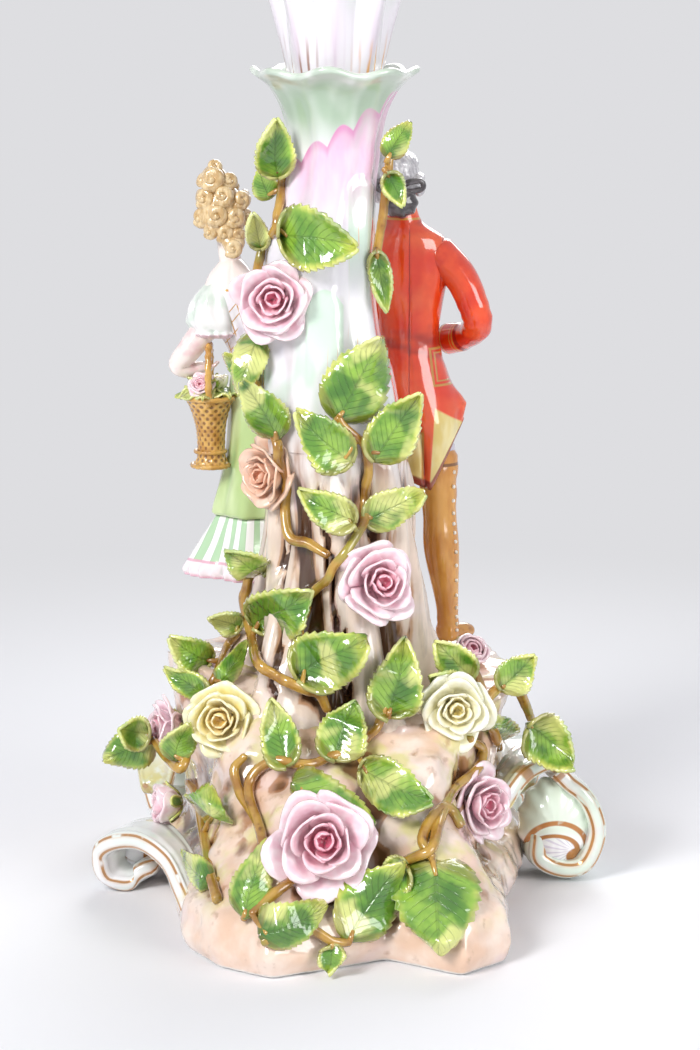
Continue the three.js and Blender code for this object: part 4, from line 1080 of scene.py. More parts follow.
def petal_at(turn, half_turn, ball, open_by, curl, ragged, chance):
    """A petal on a ball of radius `ball`, around the heart at the origin, which looks along +Z."""
    piece = copied(petal_pattern, "petal")
    wave, lean = chance.uniform(0, 6), chance.uniform(-0.1, 0.1)
    notch, tall = chance.uniform(-0.3, 0.3), chance.uniform(0.94, 1.05)
    for point, rest_point in zip(piece.data.vertices, petal_pattern.data.vertices):
        u, t = rest_point.co.x, (rest_point.co.y + 1) / 2
        outline = 0.52 + 0.48 * max(0, 1 - abs(u) ** 2.3) ** 0.5
        outline += ragged * (0.3 * sin(5 * u + wave) * u * u - 0.5 * exp(-((u - notch) / 0.22) ** 2))
        climb = t * outline
        breadth = half_turn * (0.28 + 0.72 * sin(min(1, t * 1.1) * pi / 2))
        angle = turn + u * breadth + lean * climb
        polar = climb * open_by * tall
        outward = ball * sin(polar) if polar < pi / 2 else ball * (
            1 + (sin(polar) - 1) * (0.5 if open_by < 2 else 1))
        rise = -ball * cos(polar)
        rim = max(0, t - 0.66) / 0.34
        outward *= 1 - 0.12 * u * u * t + 0.06 * u * t
        outward += curl * ball * rim ** 2 * (1 + 0.5 * sin(4 * u + wave))
        rise += curl * ball * (0.16 * sin(5 * u + wave) * rim - 0.45 * rim ** 2.5)
        point.co = Vector((outward * cos(angle), outward * sin(angle), rise))
    return piece


# %% One rose
WHORLS = {  # share of the radius, petals, how far they open, curl, heart, half width of a petal in turns
    "full": [(0.2, 3, 2.5, 0.1, 1.0, 0.2), (0.33, 4, 2.2, 0.22, 0.85, 0.16), (0.5, 4, 2.0, 0.2, 0.4, 0.17),
             (0.7, 4, 1.78, 0.24, 0.12, 0.17), (0.93, 5, 1.42, 0.22, 0.0, 0.145)],
    "bud": [(0.42, 3, 2.6, 0.02, 0.9, 0.22), (0.6, 3, 2.45, 0.04, 0.6, 0.22),
            (0.8, 3, 2.3, 0.08, 0.25, 0.22), (0.98, 3, 2.1, 0.12, 0.0, 0.21)],
}


def rose(name, kind, radius, seed):
    """A rose around the origin that looks along +Z."""
    chance = random.Random(seed)
    petals = []
    off = Vector((chance.uniform(-0.12, 0.12), chance.uniform(-0.12, 0.12), 0)) * (kind == "full")
    for row, (share, count, open_by, curl, heart, half) in enumerate(WHORLS[kind]):
        for k in range(count):
            turn = tau * (k + 0.5 * row + chance.uniform(-0.14, 0.14)) / count + seed
            size = share * radius * chance.uniform(0.94, 1.06)
            piece = petal_at(turn, half * tau, size, open_by + chance.uniform(-0.16, 0.08), curl, 0.14,
                             chance)
            sink = radius * (0.24 * share if kind == "full" else 0.1 * share)
            shift = off * radius * (1 - share) + Vector((0, 0, sink - 0.05 * k * size / count))
            for point in piece.data.vertices:
                point.co = (point.co + shift) * MM
            layer = piece.data.attributes.new("heart", "FLOAT", "POINT")
            layer.data.foreach_set("value", [heart] * len(piece.data.vertices))
            applied(piece, "SOLIDIFY", thickness=(0.55 + 0.3 * share) * MM, offset=0)
            petals.append(piece)
    return tidy_mesh(joined(petals, name), merge=False)


def sepals(radius, seed, drop):
    """Five green leaflets that hold a rose or a bud from below."""
    chance = random.Random(seed + 50)
    pieces = []
    for k in range(5):
        piece = petal_at(tau * k / 5 + seed, 0.36, radius, 1.5, 0.12, 0.0, chance)
        for point in piece.data.vertices:
            point.co = Vector((point.co.x, point.co.y, point.co.z - drop * radius)) * MM
        applied(piece, "SOLIDIFY", thickness=0.7 * MM, offset=0)
        pieces.append(piece)
    return tidy_mesh(joined(pieces, "sepals"), merge=False)


# %% Rose glazes
def rose_glaze(name, pale, blush, deep, rim):
    made = Finish(name, pale, blush, (6, 2), (0.4, 0.66))
    u, t = made.uv()
    heart = made.attribute("heart")
    made.wash(rim, t.between(0.8, 1.0) * 0.7)
    streaks = ((u * 46).sine() * 0.5 + 0.5) * t.between(0.1, 0.8)
    made.wash(blush, streaks * 0.3)
    made.wash(deep, (heart * (0.45 + 0.45 * t.between(0.9, 0.5))).least(1) * 0.9)
    return made.glaze(0.2, ripple=0.06)


ROSE_GLAZES = {
    "pink": rose_glaze("rose_pink", (255, 240, 244), (246, 206, 218), (222, 92, 128),
                       (253, 234, 238)),
    "peach": rose_glaze("rose_peach", (254, 236, 220), (248, 208, 182), (226, 150, 112),
                        (240, 196, 166)),
    "yellow": rose_glaze("rose_yellow", (255, 250, 206), (252, 238, 158), (224, 178, 66),
                         (255, 253, 226)),
    "cream": rose_glaze("rose_cream", (255, 254, 234), (250, 246, 204), (230, 210, 124),
                        (255, 254, 242)),
    "amber": rose_glaze("rose_amber", (254, 244, 230), (250, 212, 180), (236, 130, 56),
                        (244, 152, 84)),
}

# %% Where the roses sit
ROSES = {  # kind, x, z, radius, off, the way it looks, glaze, then side or depth where it needs one
    "rose_stem": ("full", -19, 209, 12.5, 8.6, (-0.15, -1, 0.05), "pink"),
    "rose_peach": ("full", -24, 148, 11.5, 6, (-0.75, -0.65, 0), "peach"),
    "rose_trunk": ("full", 11.5, 113, 13, 9, (0.4, -1, 0.3), "pink"),
    "rose_yellow": ("full", -37, 66, 12, 8.5, (-0.25, -1, 0.15), "yellow"),
    "rose_left": ("full", -62, 58, 9.5, 0, (-1, -0.35, 0.1), "pink", {"y": -6}),
    "rose_cream": ("full", 41, 67, 12, 8.5, (0.1, -1, 0.1), "cream"),
    "rose_lower_left": ("full", -7, 36, 16, 11.4, (0, -1, 0.25), "pink"),
    "rose_lower_right": ("full", 50, 35, 12.5, 10, (0.75, -0.8, 0.1), "pink"),
    "bud_left": ("bud", -60, 34, 6.5, 0, (-1, -0.3, 0.05), "pink", {"y": -20}),
    "bud_right": ("bud", 76, 51.2, 6, 0, (0.5, -0.3, 0.8), "amber", {"y": 8}),
    "bud_shoe": ("bud", 48.5, 81.4, 5.5, 0, (0.4, -0.6, 0.7), "pink", {"y": 12}),
    "rose_front": ("full", 0, 40, 13, 9, (0, 1, 0.3), "pink", {"side": 1}),
}
for seed, (name, row) in enumerate(ROSES.items()):
    kind, x, z, radius, off, looks, glaze, *rest = row
    where = rest[0] if rest else {}
    flower = rose(name + "_modelled", kind, radius * (1 if kind == "full" else 1.05), seed)
    dressed(flower, ROSE_GLAZES[glaze])
    leaves = sepals(radius * (0.6 if kind == "full" else 1.04), seed, 0.75 * (kind == "full"))
    flower = joined([flower, dressed(leaves, leaf_glaze)], name + "_modelled")
    foot, facing = skin(x, z, where.get("side", -1), where.get("y"))
    set_down(flower, foot + facing * off, looks)
    slot = {"pink": "pink", "peach": "peach", "amber": "peach"}.get(glaze, "cream")
    finished(flower, "stand", slot, name)

# %% [markdown]
# ## The four scroll feet
# Each foot is a C-scroll: a ribbon of porcelain that springs from the mound, bows out to the table
# and curls in on itself. Its path and widths are the solid's own. The section is a rounded bar with a
# raised rail along both edges. An egg-shaped web with fan ribs fills the curl of the two side feet.

# %% Eggs and scrolls
SCROLL_THICK = 8


def egg(name, centre, radii, columns, rows, shape=None):
    """A round body whose poles point along Y. shape(angle, polar) scales it."""
    def place(angle, ring):
        polar = pi * ring / (rows - 1)
        scale = shape(angle, polar) if shape else 1
        return (centre[0] + radii[0] * scale * sin(polar) * cos(angle),
                centre[1] - radii[1] * cos(polar) * (0.5 + 0.5 * scale),
                centre[2] + radii[2] * scale * sin(polar) * sin(angle))
    return swept(name, rows, columns, place)


def scroll(name, path, widths, face):
    rows = eased([[*p, w] for p, w in zip(path, widths)], 8)
    centres = [Vector(row[:3]) for row in rows]
    last = len(rows) - 1
    frames = []
    for k, centre in enumerate(centres):
        ahead = (centres[min(k + 1, last)] - centres[max(k - 1, 0)]).normalized()
        side = Vector(face)
        side = (side - ahead * side.dot(ahead)).normalized()
        frames.append((centre, side, ahead.cross(side), rows[k][3], ahead, 1))
    for end, way in ((0, -1), (-1, 1)):
        centre, side, up, width, ahead, _ = frames[end]
        cap = [(centre + ahead * way * reach, side, up, width * share, ahead, squash)
               for reach, share, squash in ((1.8, 0.86, 0.8), (2.6, 0.5, 0.4), (2.8, 0, 0))]
        frames = cap[::-1] + frames if end == 0 else frames + cap

    def place(angle, ring):
        centre, side, up, width, _, flat = frames[ring]
        c, s = cos(angle), sin(angle)
        across = copysign(abs(c) ** 0.62, c)
        high = copysign(abs(s) ** 0.8, s)
        rail = 0.16 * exp(-((abs(across) - 0.86) / 0.1) ** 2)
        furrow = -0.12 * exp(-((abs(across) - 0.62) / 0.1) ** 2) - 0.1 * exp(-(across / 0.3) ** 2)
        high *= 0.94 + rail + furrow
        return centre + side * across * width / 2 + up * high * flat * SCROLL_THICK / 2
    return swept(name, len(frames), 48, place)


# %% Foot glaze
def foot_glaze(name, base, stripes):
    made = Finish(name, base, (250, 249, 250), (18, 2), (0.42, 0.66))
    u, run = made.uv()
    made.wash((226, 214, 224), made.clouds(11, 3).between(0.58, 0.74) * 0.5)
    edge = (u * tau + pi / 2).sine().size()
    gold_line = (edge - 0.9).size().between(0.055, 0.03)
    fade = made.clouds(9, 2).between(0.36, 0.46)
    made.wash((186, 128, 58), gold_line * fade * 0.95)
    made.wash((226, 196, 170), (edge - 0.9).size().between(0.1, 0.05) * (1 - gold_line) * 0.5)
    if stripes:
        bars = (run * stripes).sine().between(0.5, 0.8) * run.between(0.4, 0.3) * edge.between(0.2, 0.5)
        made.wash((182, 124, 66), bars * 0.85)
    made.wash((214, 206, 132), run.between(0.2, 0.02) * made.clouds(7).between(0.4, 0.6))
    made.gild(gold_line * fade * 0.3)
    return made.glaze(0.15)


def fan_glaze(name, centre, radius, gilt_end):
    made = Finish(name)
    x, _, z = made.axes()
    middle = (gilt_end[0] - 0.55 * radius[0] * (1 if centre[0] > 0 else -1), gilt_end[1] + 0.14 * radius[1])
    off_x, off_z = (x - middle[0]) / (radius[0] * 0.62), (z - middle[1]) / (radius[1] * 0.36)
    reach = (off_x * off_x + off_z * off_z) ** 0.5
    turn = made.turn(z - middle[1], x - gilt_end[0])
    made.ground((226, 238, 222), (251, 250, 252), z.between(middle[1] + 9, middle[1] + 2))
    ribs = (turn * 26).sine().between(0.1, 0.8) * reach.between(1.0, 0.8)
    made.wash((206, 196, 216), ribs * 0.6)
    bow_x, bow_z = (x - centre[0]) / (radius[0] * 0.8), (z - gilt_end[1] - 3) / (radius[1] * 0.6)
    bow = (bow_x ** 2 + bow_z ** 2) ** 0.5
    ring = (reach - 1).size().between(0.15, 0.08)
    arc = (bow - 1).size().between(0.11, 0.06) * (z - gilt_end[1]).between(-3, 0)
    disc = ((x - gilt_end[0]) ** 2 + (z - gilt_end[1]) ** 2) ** 0.5
    gilt = (ring + arc + disc.between(gilt_end[2] + 0.4, gilt_end[2] - 0.2)).least(1)
    made.wash((186, 122, 56), gilt * made.clouds(6).between(0.25, 0.4))
    made.gild(gilt * 0.3)
    return made.glaze(0.14)


# %% Build the feet
FEET = {  # path, widths, the way its edge faces, web centre and radii, the painted end of the curl
    "scroll_foot_left": (
        [(-45, -65, 5), (-49, -55, 14), (-54, -42, 21), (-62, -28, 24), (-70, -16, 22), (-77, -8, 17),
         (-78, -5, 9), (-72, -4, 4), (-65, -4, 7)],
        [9, 11, 13, 17, 21, 24, 24, 22, 20], (0.45, 0.9, 0), (-70, 0.4, 12), (8.8, 7.5, 9.4),
        (-66, 11, 2.2)),
    "scroll_foot_right": (
        [(56, -16, 32), (64, -4, 41), (73, 7, 43), (81, 9, 36), (88, 8, 29), (91, 8, 18), (87, 7, 7),
         (79, 6, 5), (71, 5, 9), (71, 5, 17)],
        [12, 18, 22, 26, 28, 28, 26, 24, 22, 20], (-0.2, 1, 0), (78.6, 4.6, 20), (13.4, 10.6, 17),
        (85.2, 9.4, 3)),
    "scroll_foot_front_left": (
        [(-66, 30, 26), (-66, 44, 34), (-64, 58, 34), (-63, 70, 27), (-63, 76, 15), (-61, 71, 5),
         (-60, 63, 6), (-60, 60, 14)], [12, 18, 22, 24, 24, 22, 20, 18], (1, 0, 0)),
    "scroll_foot_front_right": (
        [(68, 30, 26), (68, 44, 34), (66, 58, 34), (65, 70, 27), (65, 76, 15), (63, 71, 5), (62, 63, 6),
         (62, 60, 14)], [12, 18, 22, 24, 24, 22, 20, 18], (1, 0, 0)),
}
mint_foot = foot_glaze("foot_mint", (218, 230, 216), 66)
white_foot = foot_glaze("foot_white", (232, 238, 232), 0)
for name, (path, widths, face, *web) in FEET.items():
    pieces = [dressed(scroll(name + "_ribbon", path, widths, face),
                      white_foot if name.endswith("foot_left") else mint_foot)]
    if web:
        centre, radii, gilt_end = web
        fan = egg(name + "_web", centre, radii, 96, 20,
                  lambda angle, polar: 1 + 0.035 * cos(13 * angle) * sin(polar) ** 2)
        pieces.append(dressed(fan, fan_glaze(name + "_fan", centre[::2], radii[::2], gilt_end)))
    foot = joined(pieces, name + "_modelled")
    for point in foot.data.vertices:
        point.co.z = max(point.co.z, 0.0002)
    finished(foot, "stand", "mint", name)

# %% [markdown]
# ## The bowl
# The bowl is thrown, then pierced while the clay is leather-hard. It is swept as one closed wall, and
# a rounded cutter takes out each window. A raised moulding runs round every window, and a small
# blossom sits between them where two ribs meet. Its calyx is a tube pressed into eight leaves. The
# cork bush below is a plain turned ring.

# %% Bowl wall
BOWL_FLOOR = 334
OUTER = [(0, 0), (20, 0.2), (34, 0.8), (46, 6), (58, 14), (72, 30), (80, 41.5), (87, 52), (91, 59),
         (96.5, 70.5), (101.5, 82), (106, 88.5), (110, 94)]
WINDOWS = 12
outer_rows = eased(OUTER, 6)
slope = np.gradient(outer_rows, axis=0)
slope /= np.linalg.norm(slope, axis=1)[:, None]
inner_rows = outer_rows + np.stack([-slope[:, 1], slope[:, 0]], 1) * 3.8
inner_rows[:, 0] = inner_rows[:, 0].clip(0)
rise_of, radius_of = outer_rows[:, 1], outer_rows[:, 0]


def bowl_radius(rise):
    return float(np.interp(rise, rise_of[6:], radius_of[6:]))


def rim_lobe(angle, rise):
    return 0.028 * cos(6 * angle) * clamp((rise - 70) / 24)


def bowl_place(angle, ring):
    count = len(outer_rows)
    radius, rise = outer_rows[ring] if ring < count else inner_rows[2 * count - 1 - ring]
    lobe = rim_lobe(angle, rise)
    rib = 0.5 * cos(WINDOWS * angle) * clamp((rise - 6) / 20) if ring < count else 0
    radius = radius * (1 + lobe) + rib
    return round_axis(radius, angle, BOWL_FLOOR + rise + 40 * lobe)


bowl = swept("bowl_modelled", 2 * len(outer_rows), 240, bowl_place)


def window_outline(low, high, turn):
    """The rounded outline of the first window, as an angle round the bowl and a rise."""
    c, s = cos(turn), sin(turn)
    across = copysign(abs(c) ** 0.6, c) * radians(9.4)
    up = copysign(abs(s) ** 0.6, s)
    return pi / WINDOWS + across, (low + high) / 2 + up * (high - low) / 2


def ringed(pattern, name):
    """Copies of the first window's piece at all windows of its band. The pattern goes."""
    copies = []
    for k in range(WINDOWS):
        turned = copied(pattern, name)
        turned.data.transform(Matrix.Rotation(tau * k / WINDOWS, 4, "Z"))
        copies.append(turned)
    bpy.data.objects.remove(pattern)
    return copies


# %% Cut the windows
WINDOW_BANDS = [(31, 51), (60.5, 81)]
CUTTER_SIDES, MOULDING_STEPS = 32, 48
cutters = []
for low, high in WINDOW_BANDS:
    def cutter_place(angle, ring):
        side = round(angle / tau * CUTTER_SIDES) % CUTTER_SIDES
        around, rise = window_outline(low, high, tau * side / CUTTER_SIDES)
        reach = [0.82, 1.12][ring]
        radius = bowl_radius(rise) * reach
        return round_axis(radius, around, BOWL_FLOOR + rise + (1 - reach) * 18)
    cutter = swept("window_cutter", 2, CUTTER_SIDES, cutter_place)
    take(cutter)
    bpy.ops.object.mode_set(mode="EDIT")
    bpy.ops.mesh.select_all(action="SELECT")
    bpy.ops.mesh.fill_holes(sides=0)
    bpy.ops.mesh.normals_make_consistent(inside=False)
    bpy.ops.object.mode_set(mode="OBJECT")
    cutters += ringed(cutter, "window_cutter")
whole_cutter = joined(cutters, "window_cutters")
applied(bowl, "BOOLEAN", object=whole_cutter, operation="DIFFERENCE", solver="EXACT")
bpy.data.objects.remove(whole_cutter)
print("bowl", len(bowl.data.polygons), "faces after piercing")


# %% Mouldings and blossoms
def moulding(low, high):
    def place(angle, ring):
        around, rise = window_outline(low, high, tau * (ring % MOULDING_STEPS) / MOULDING_STEPS)
        radius = bowl_radius(rise) * (1 + rim_lobe(around, rise)) + 0.2
        centre = Vector(round_axis(radius, around, BOWL_FLOOR + rise + 40 * rim_lobe(around, rise)))
        turn = tau * ring / MOULDING_STEPS
        outward = Vector(round_axis(1, around, -0.55)).normalized()
        edge = (Vector((-sin(around), cos(around), 0)) * cos(turn)
                + Vector(round_axis(0.4, around, 0.9)) * sin(turn)).normalized()
        return centre + (outward * sin(angle) + edge * cos(angle)) * 1.25
    return swept("window_moulding", MOULDING_STEPS + 1, 10, place)


mouldings = []
for low, high in WINDOW_BANDS:
    mouldings += ringed(moulding(low, high), "window_moulding")


def blossom_place(angle, ring):
    reach = [0, 0.3, 0.6, 0.85, 1.0, 0.9, 0.5, 0][ring]
    height = [0.9, 0.55, 0.95, 1.15, 0.75, 0.1, -0.5, -0.6][ring]
    petals = 1 - 0.24 * (1 - abs(cos(2.5 * angle))) ** 2 * min(1, reach * 1.4)
    return round_axis(4.6 * reach * petals, angle, 1.5 * height)


BLOSSOM_RISE = 55.5
blossom = swept("blossom_pattern", 8, 60, blossom_place)
blossoms = []
for k in range(WINDOWS):
    turned = copied(blossom, "blossom")
    around = tau * k / WINDOWS
    outward = round_axis(1, around, -0.62)
    radius = bowl_radius(BLOSSOM_RISE) + 0.9
    set_down(turned, round_axis(radius, around, BOWL_FLOOR + BLOSSOM_RISE), outward)
    blossoms.append(turned)
bpy.data.objects.remove(blossom)

# %% Bowl glazes
china = Finish("bowl_glaze", (250, 249, 249), (234, 230, 238), (26, 2), (0.44, 0.66))
x, y, z = china.axes()
reach = (x * x + y * y) ** 0.5
turn = china.turn(y, x)
lobe = (turn * 6 + pi / 2).sine()
rim_height = z - lobe * 1.1
blush = rim_height.between(404, 424) * china.clouds(9, 3, (1, 1, 0.4)).between(0.36, 0.6)
china.wash((238, 196, 214), blush * 0.55)
china.wash((184, 216, 186), z.between(366, 344) * china.clouds(11, 2).between(0.42, 0.62) * 0.5)
rim_gold = rim_height.between(425.4, 426.0)
band = (z - 338.2).size().between(3.4, 3.0) * reach.between(50, 46) * reach.between(40, 42)
gilt = (rim_gold + band).least(1)
china.wash((214, 160, 66), gilt)
china.gild(gilt * 0.6)
china_glaze = china.glaze(0.13)

moulding_finish = Finish("moulding_glaze", (246, 238, 226), (212, 164, 84), (4, 3), (0.36, 0.5))
moulding_glaze = moulding_finish.glaze(0.16)

flower = Finish("blossom_glaze", (248, 216, 228), (224, 128, 168), (2.6, 2), (0.4, 0.62))
run = flower.uv()[1]
flower.wash((230, 180, 62), run.between(0.2, 0.12))
flower.wash((252, 240, 244), run.between(0.42, 0.56) * 0.6)
blossom_glaze = flower.glaze(0.18)

dressed(bowl, china_glaze)
for piece in mouldings:
    dressed(piece, moulding_glaze)
for piece in blossoms:
    dressed(piece, blossom_glaze)
bowl = joined([bowl] + mouldings + blossoms, "bowl_modelled")
finished(bowl, "bowl", "white", "pierced_bowl", sharp=50)

# %% [markdown]
# The calyx carries the bowl's floor. Its eight leaves stand up from the shoulder over the spigot, and
# each is a ridge with a vein on it whose tip curls out under the floor. Lilac and brown strokes run up
# from the shoulder on the left, and orange ones on the right.

# %% Calyx
CALYX = [(254, 0), (254, 8.2), (254.8, 8.8), (262, 8.8), (274.5, 8.8), (274.6, 13.6), (275.4, 14.6),
         (281, 15.2), (288, 16.4), (298, 18.2), (308, 20.2), (316, 22.6), (324, 25.6), (329.4, 29.4),
         (331.8, 31.6), (333.4, 32.2), (333.9, 29), (333.9, 0)]
calyx_rows = [CALYX[0]] + [tuple(row) for a, b in ((1, 4), (5, 15)) for row in eased(CALYX[a:b + 1], 6)] + \
    [CALYX[16], CALYX[17]]


def calyx_place(angle, ring):
    z, radius = calyx_rows[ring]
    grown = clamp((z - 277) / 30)
    wave = cos(8 * angle)
    ridge = 1 - abs(sin(4 * angle))
    fold = grown * (0.062 * wave + 0.03 * ridge ** 3 - 0.035 * (1 - abs(cos(4 * angle))) ** 4)
    lift = 0.9 * wave if 326 < z < 333 else 0
    radius *= 1 + fold
    return round_axis(radius, angle, min(z + lift, 333.9))


calyx = swept("calyx_modelled", len(calyx_rows), 192, calyx_place)
keep_hollows(calyx, 14, 0.5)
petals_finish = Finish("calyx_glaze")
x, y, z = petals_finish.axes()
turn = petals_finish.turn(y, x)
fine = (turn * 34 + petals_finish.clouds(12, 2, (1, 1, 0.3)) * 9).sine().between(0.2, 1)
fine = fine * z.between(276, 282)
# Lilac strokes, and lilac in the hollows between the leaves, there partly its own tint and partly painted
# shade.
petals_finish.ground((236, 231, 237), (214, 196, 212),
                     (fine * 0.16 + petals_finish.sunk(0.5, 0.8) * 0.7).least(1) * z.between(322, 286))
left_side = x.between(-3, -9) * y.between(6, -4)
right_side = x.between(4, 9) * y.between(6, -4)
low = petals_finish.clouds(7, 2, (1, 1, 0.25)).between(0.4, 0.55) * z.between(300, 288) * fine
petals_finish.wash((150, 98, 72), left_side * low * 0.85)
petals_finish.wash((228, 158, 62), right_side * low * 0.9)
petals_finish.wash((176, 214, 176), z.between(300, 328) * (petals_finish.sunk(0.6, 0.4) * 0.5 + 0.1))
edge_gold = z.between(329.6, 330.6) * z.between(333.6, 332.6)
petals_finish.wash((206, 150, 62), edge_gold * 0.9)
petals_finish.wash((226, 216, 204), z.between(274.6, 274) * 0.8)
petals_finish.gild(edge_gold * 0.5)
dressed(calyx, petals_finish.glaze(0.14))
finished(calyx, "bowl", "white", "bowl_calyx", sharp=55)

# %% Cork bush
BUSH = [(252.7, 9.3), (252.7, 10.6), (253.1, 10.95), (262, 10.95), (272.2, 10.95), (272.4, 14.5),
        (272.8, 14.9), (273.8, 14.9), (274.2, 14.5), (274.2, 9.6), (273.8, 9.25), (262, 9.25)]


def bush_place(angle, ring):
    z, radius = BUSH[ring % len(BUSH)]
    radius += min(0, 0.12 * noise.noise(Vector(round_axis(radius, angle, z)) / 1.6))
    return round_axis(radius, angle, z)


bush = swept("bush_modelled", len(BUSH) + 1, 160, bush_place)
cork = Finish("cork", (196, 160, 116), (170, 130, 88), (3, 3), (0.4, 0.64))
specks = cork.clouds(1.4, 4, (1, 1, 1.8)).between(0.6, 0.72)
cork.wash((104, 72, 46), specks * 0.85)
cork.feed(cork.shader.inputs["Base Color"], cork.tint)
cork.feed(cork.shader.inputs["Roughness"], 0.2 * cork.clouds(3) + 0.65)
cork.bump(specks * -0.3 + cork.clouds(0.8, 3) * 0.15)
dressed(bush, cork.material)
finished(bush, "seat_ring", "cork", "cork_bush", sharp=40)

# %% [markdown]
# ## The two figures
# The figures stand with their backs to the side of the large roses and look away over the front.
# Their clothes are closed rings of cloth: a coat or a skirt is swept up from its hem, and waves over
# the angle make the folds. Seams, pockets, stripes and flowers are painted with masks over object
# coordinates. Each head is one swept form. Its brow, eyes, nose, lips and ears are soft swellings
# and hollows listed in one table, and the face is a calm one of the maker's own.

# %% Heads
HEAD = [  # height, radius across, radius to the front, how far forward, all as shares of the head's size
    (-1.1, 0.46, 0.46, -0.28), (-0.95, 0.5, 0.52, -0.16), (-0.84, 0.56, 0.62, 0.02),
    (-0.6, 0.68, 0.76, 0.05), (-0.3, 0.8, 0.86, 0.04), (0.0, 0.85, 0.91, 0.02), (0.25, 0.86, 0.93, 0),
    (0.5, 0.78, 0.85, 0), (0.7, 0.66, 0.72, 0), (0.9, 0.4, 0.44, 0), (1.0, 0.02, 0.02, 0)]
FEATURES = [  # angle from the front, height, how far it stands out, width of both
    (0, -0.25, 0.2, 0.11, 0.085), (0, -0.08, 0.1, 0.085, 0.16), (0.38, 0.05, -0.075, 0.17, 0.1),
    (0.37, 0.03, 0.04, 0.11, 0.055), (0.33, 0.2, 0.025, 0.26, 0.06), (0.6, -0.24, 0.035, 0.24, 0.15),
    (0, -0.46, 0.045, 0.15, 0.035), (0, -0.585, 0.05, 0.12, 0.045), (0, -0.52, -0.035, 0.17, 0.022),
    (0, -0.79, 0.07, 0.24, 0.09), (1.5, -0.06, 0.1, 0.09, 0.15)]


def head(name, centre, size, neck, lean, hair):
    rows = [(neck, 0.44, 0.44, -0.3)] + [row for row in HEAD if row[0] > neck + 0.12]
    rows = eased(rows, 7)

    def place(angle, ring):
        rise, across, deep, forward = rows[ring]
        turn = abs((angle - pi / 2 + pi) % tau - pi)
        out = 1 + sum(stand * exp(-((turn - at) / wide) ** 2 - ((rise - high) / tall) ** 2)
                      for at, high, stand, wide, tall in FEATURES)
        return (centre[0] + lean * min(0, rise) + size * across * out * cos(angle),
                centre[1] + size * (forward + deep * out * sin(angle)), centre[2] + size * rise)
    piece = swept(name, len(rows), 96, place)
    return dressed(piece, face_glaze(name + "_glaze", centre, size, hair))


def face_glaze(name, centre, size, hair):
    made = Finish(name)
    x, y, z = made.axes()
    across, rise = ((x - centre[0]) / size).size(), (z - centre[2]) / size
    front = y.between(centre[1] + 0.2 * size, centre[1] + 0.4 * size)

    def oval(at, high, wide, tall):
        side, up = (across - at) / wide, (rise - high) / tall
        return (side * side + up * up) ** 0.5
    made.ground((250, 236, 228), (242, 218, 208), made.clouds(6, 2).between(0.4, 0.7) * 0.5)
    made.wash((238, 150, 138), oval(0.46, -0.27, 0.26, 0.2).between(1, 0) * front * 0.6)
    lips = oval(0, -0.52, 0.17, 0.085).between(1.05, 0.85) * front
    made.wash((206, 84, 80), lips)
    made.wash((140, 44, 46), oval(0, -0.52, 0.17, 0.014).between(1.1, 0.7) * front)
    eye = oval(0.33, 0.035, 0.13, 0.06)
    made.wash((250, 250, 248), eye.between(1.05, 0.9) * front)
    made.wash((74, 96, 112), oval(0.33, 0.03, 0.055, 0.055).between(1.05, 0.9) * front)
    made.wash((24, 20, 20), oval(0.33, 0.03, 0.026, 0.026).between(1.1, 0.8) * front)
    lid = (eye - 1.08).size().between(0.16, 0.06) * (rise - 0.035).between(0.0, 0.02)
    made.wash((92, 58, 44), lid * front)
    brow_off = across - 0.34
    brow = (rise - 0.215 + brow_off * brow_off * 1.6).size().between(0.032, 0.012)
    made.wash((128, 88, 62), brow * brow_off.size().between(0.19, 0.13) * front * 0.85)
    grown = (rise + across * across * -0.45).between(0.48, 0.53)
    made.wash(made.mix(*hair, made.clouds(1.5, 3, (1, 0.4, 1))), grown)
    return made.glaze(0.18, ripple=0.03)


# %% Hands and curls of hair
def hand(name, path, radius, spread=1.0):
    """A palm with four fingers and a thumb. The path runs from the wrist to the finger tips."""
    wrist, knuckles, tips = [Vector(p) for p in path]
    ahead = (tips - knuckles).normalized()
    across = ahead.cross(Vector((0, 0, 1))).normalized()
    down = across.cross(ahead)
    pieces = [limb(name, [wrist, wrist.lerp(knuckles, 0.5), knuckles],
                   [radius * 0.8, radius * 0.9, radius * 0.8], 16, 4)]
    for k in range(4):
        off = across * (k - 1.5) * radius * 0.46 * spread
        length = (tips - knuckles).length * (0.95, 1.1, 1.05, 0.85)[k]
        stops = [knuckles + off * 0.8, knuckles + off + ahead * length * 0.5 - down * 0.1 * radius,
                 knuckles + off * 1.1 + ahead * length + down * 0.35 * radius]
        pieces.append(limb("finger", stops, [radius * 0.32, radius * 0.28, radius * 0.2], 10, 4))
    side = across * radius * 0.8
    stops = [wrist.lerp(knuckles, 0.3) + side * 0.7, wrist.lerp(knuckles, 0.8) + side * 1.15,
             knuckles + side * 1.1 + ahead * radius * 0.7]
    pieces.append(limb("thumb", stops, [radius * 0.36, radius * 0.32, radius * 0.22], 10, 4))
    return joined(pieces, name)


CURL_TURNS, CURL_THICK = 1.25, 0.5


def curl(centre, radius, facing):
    """A flat spiral of hair that faces one way."""
    facing = Vector(facing).normalized()
    across = facing.orthogonal().normalized()
    beside = facing.cross(across)
    path, radii = [], []
    for k in range(10):
        share = k / 9
        angle = tau * CURL_TURNS * share
        reach = radius * (1 - 0.82 * share) * (1 - CURL_THICK * 0.5)
        path.append(Vector(centre) + (across * cos(angle) + beside * sin(angle)) * reach
                    + facing * radius * 0.45 * share)
        radii.append(radius * CURL_THICK * (1 - 0.35 * share))
    return limb("curl", path, radii, 12, 3)


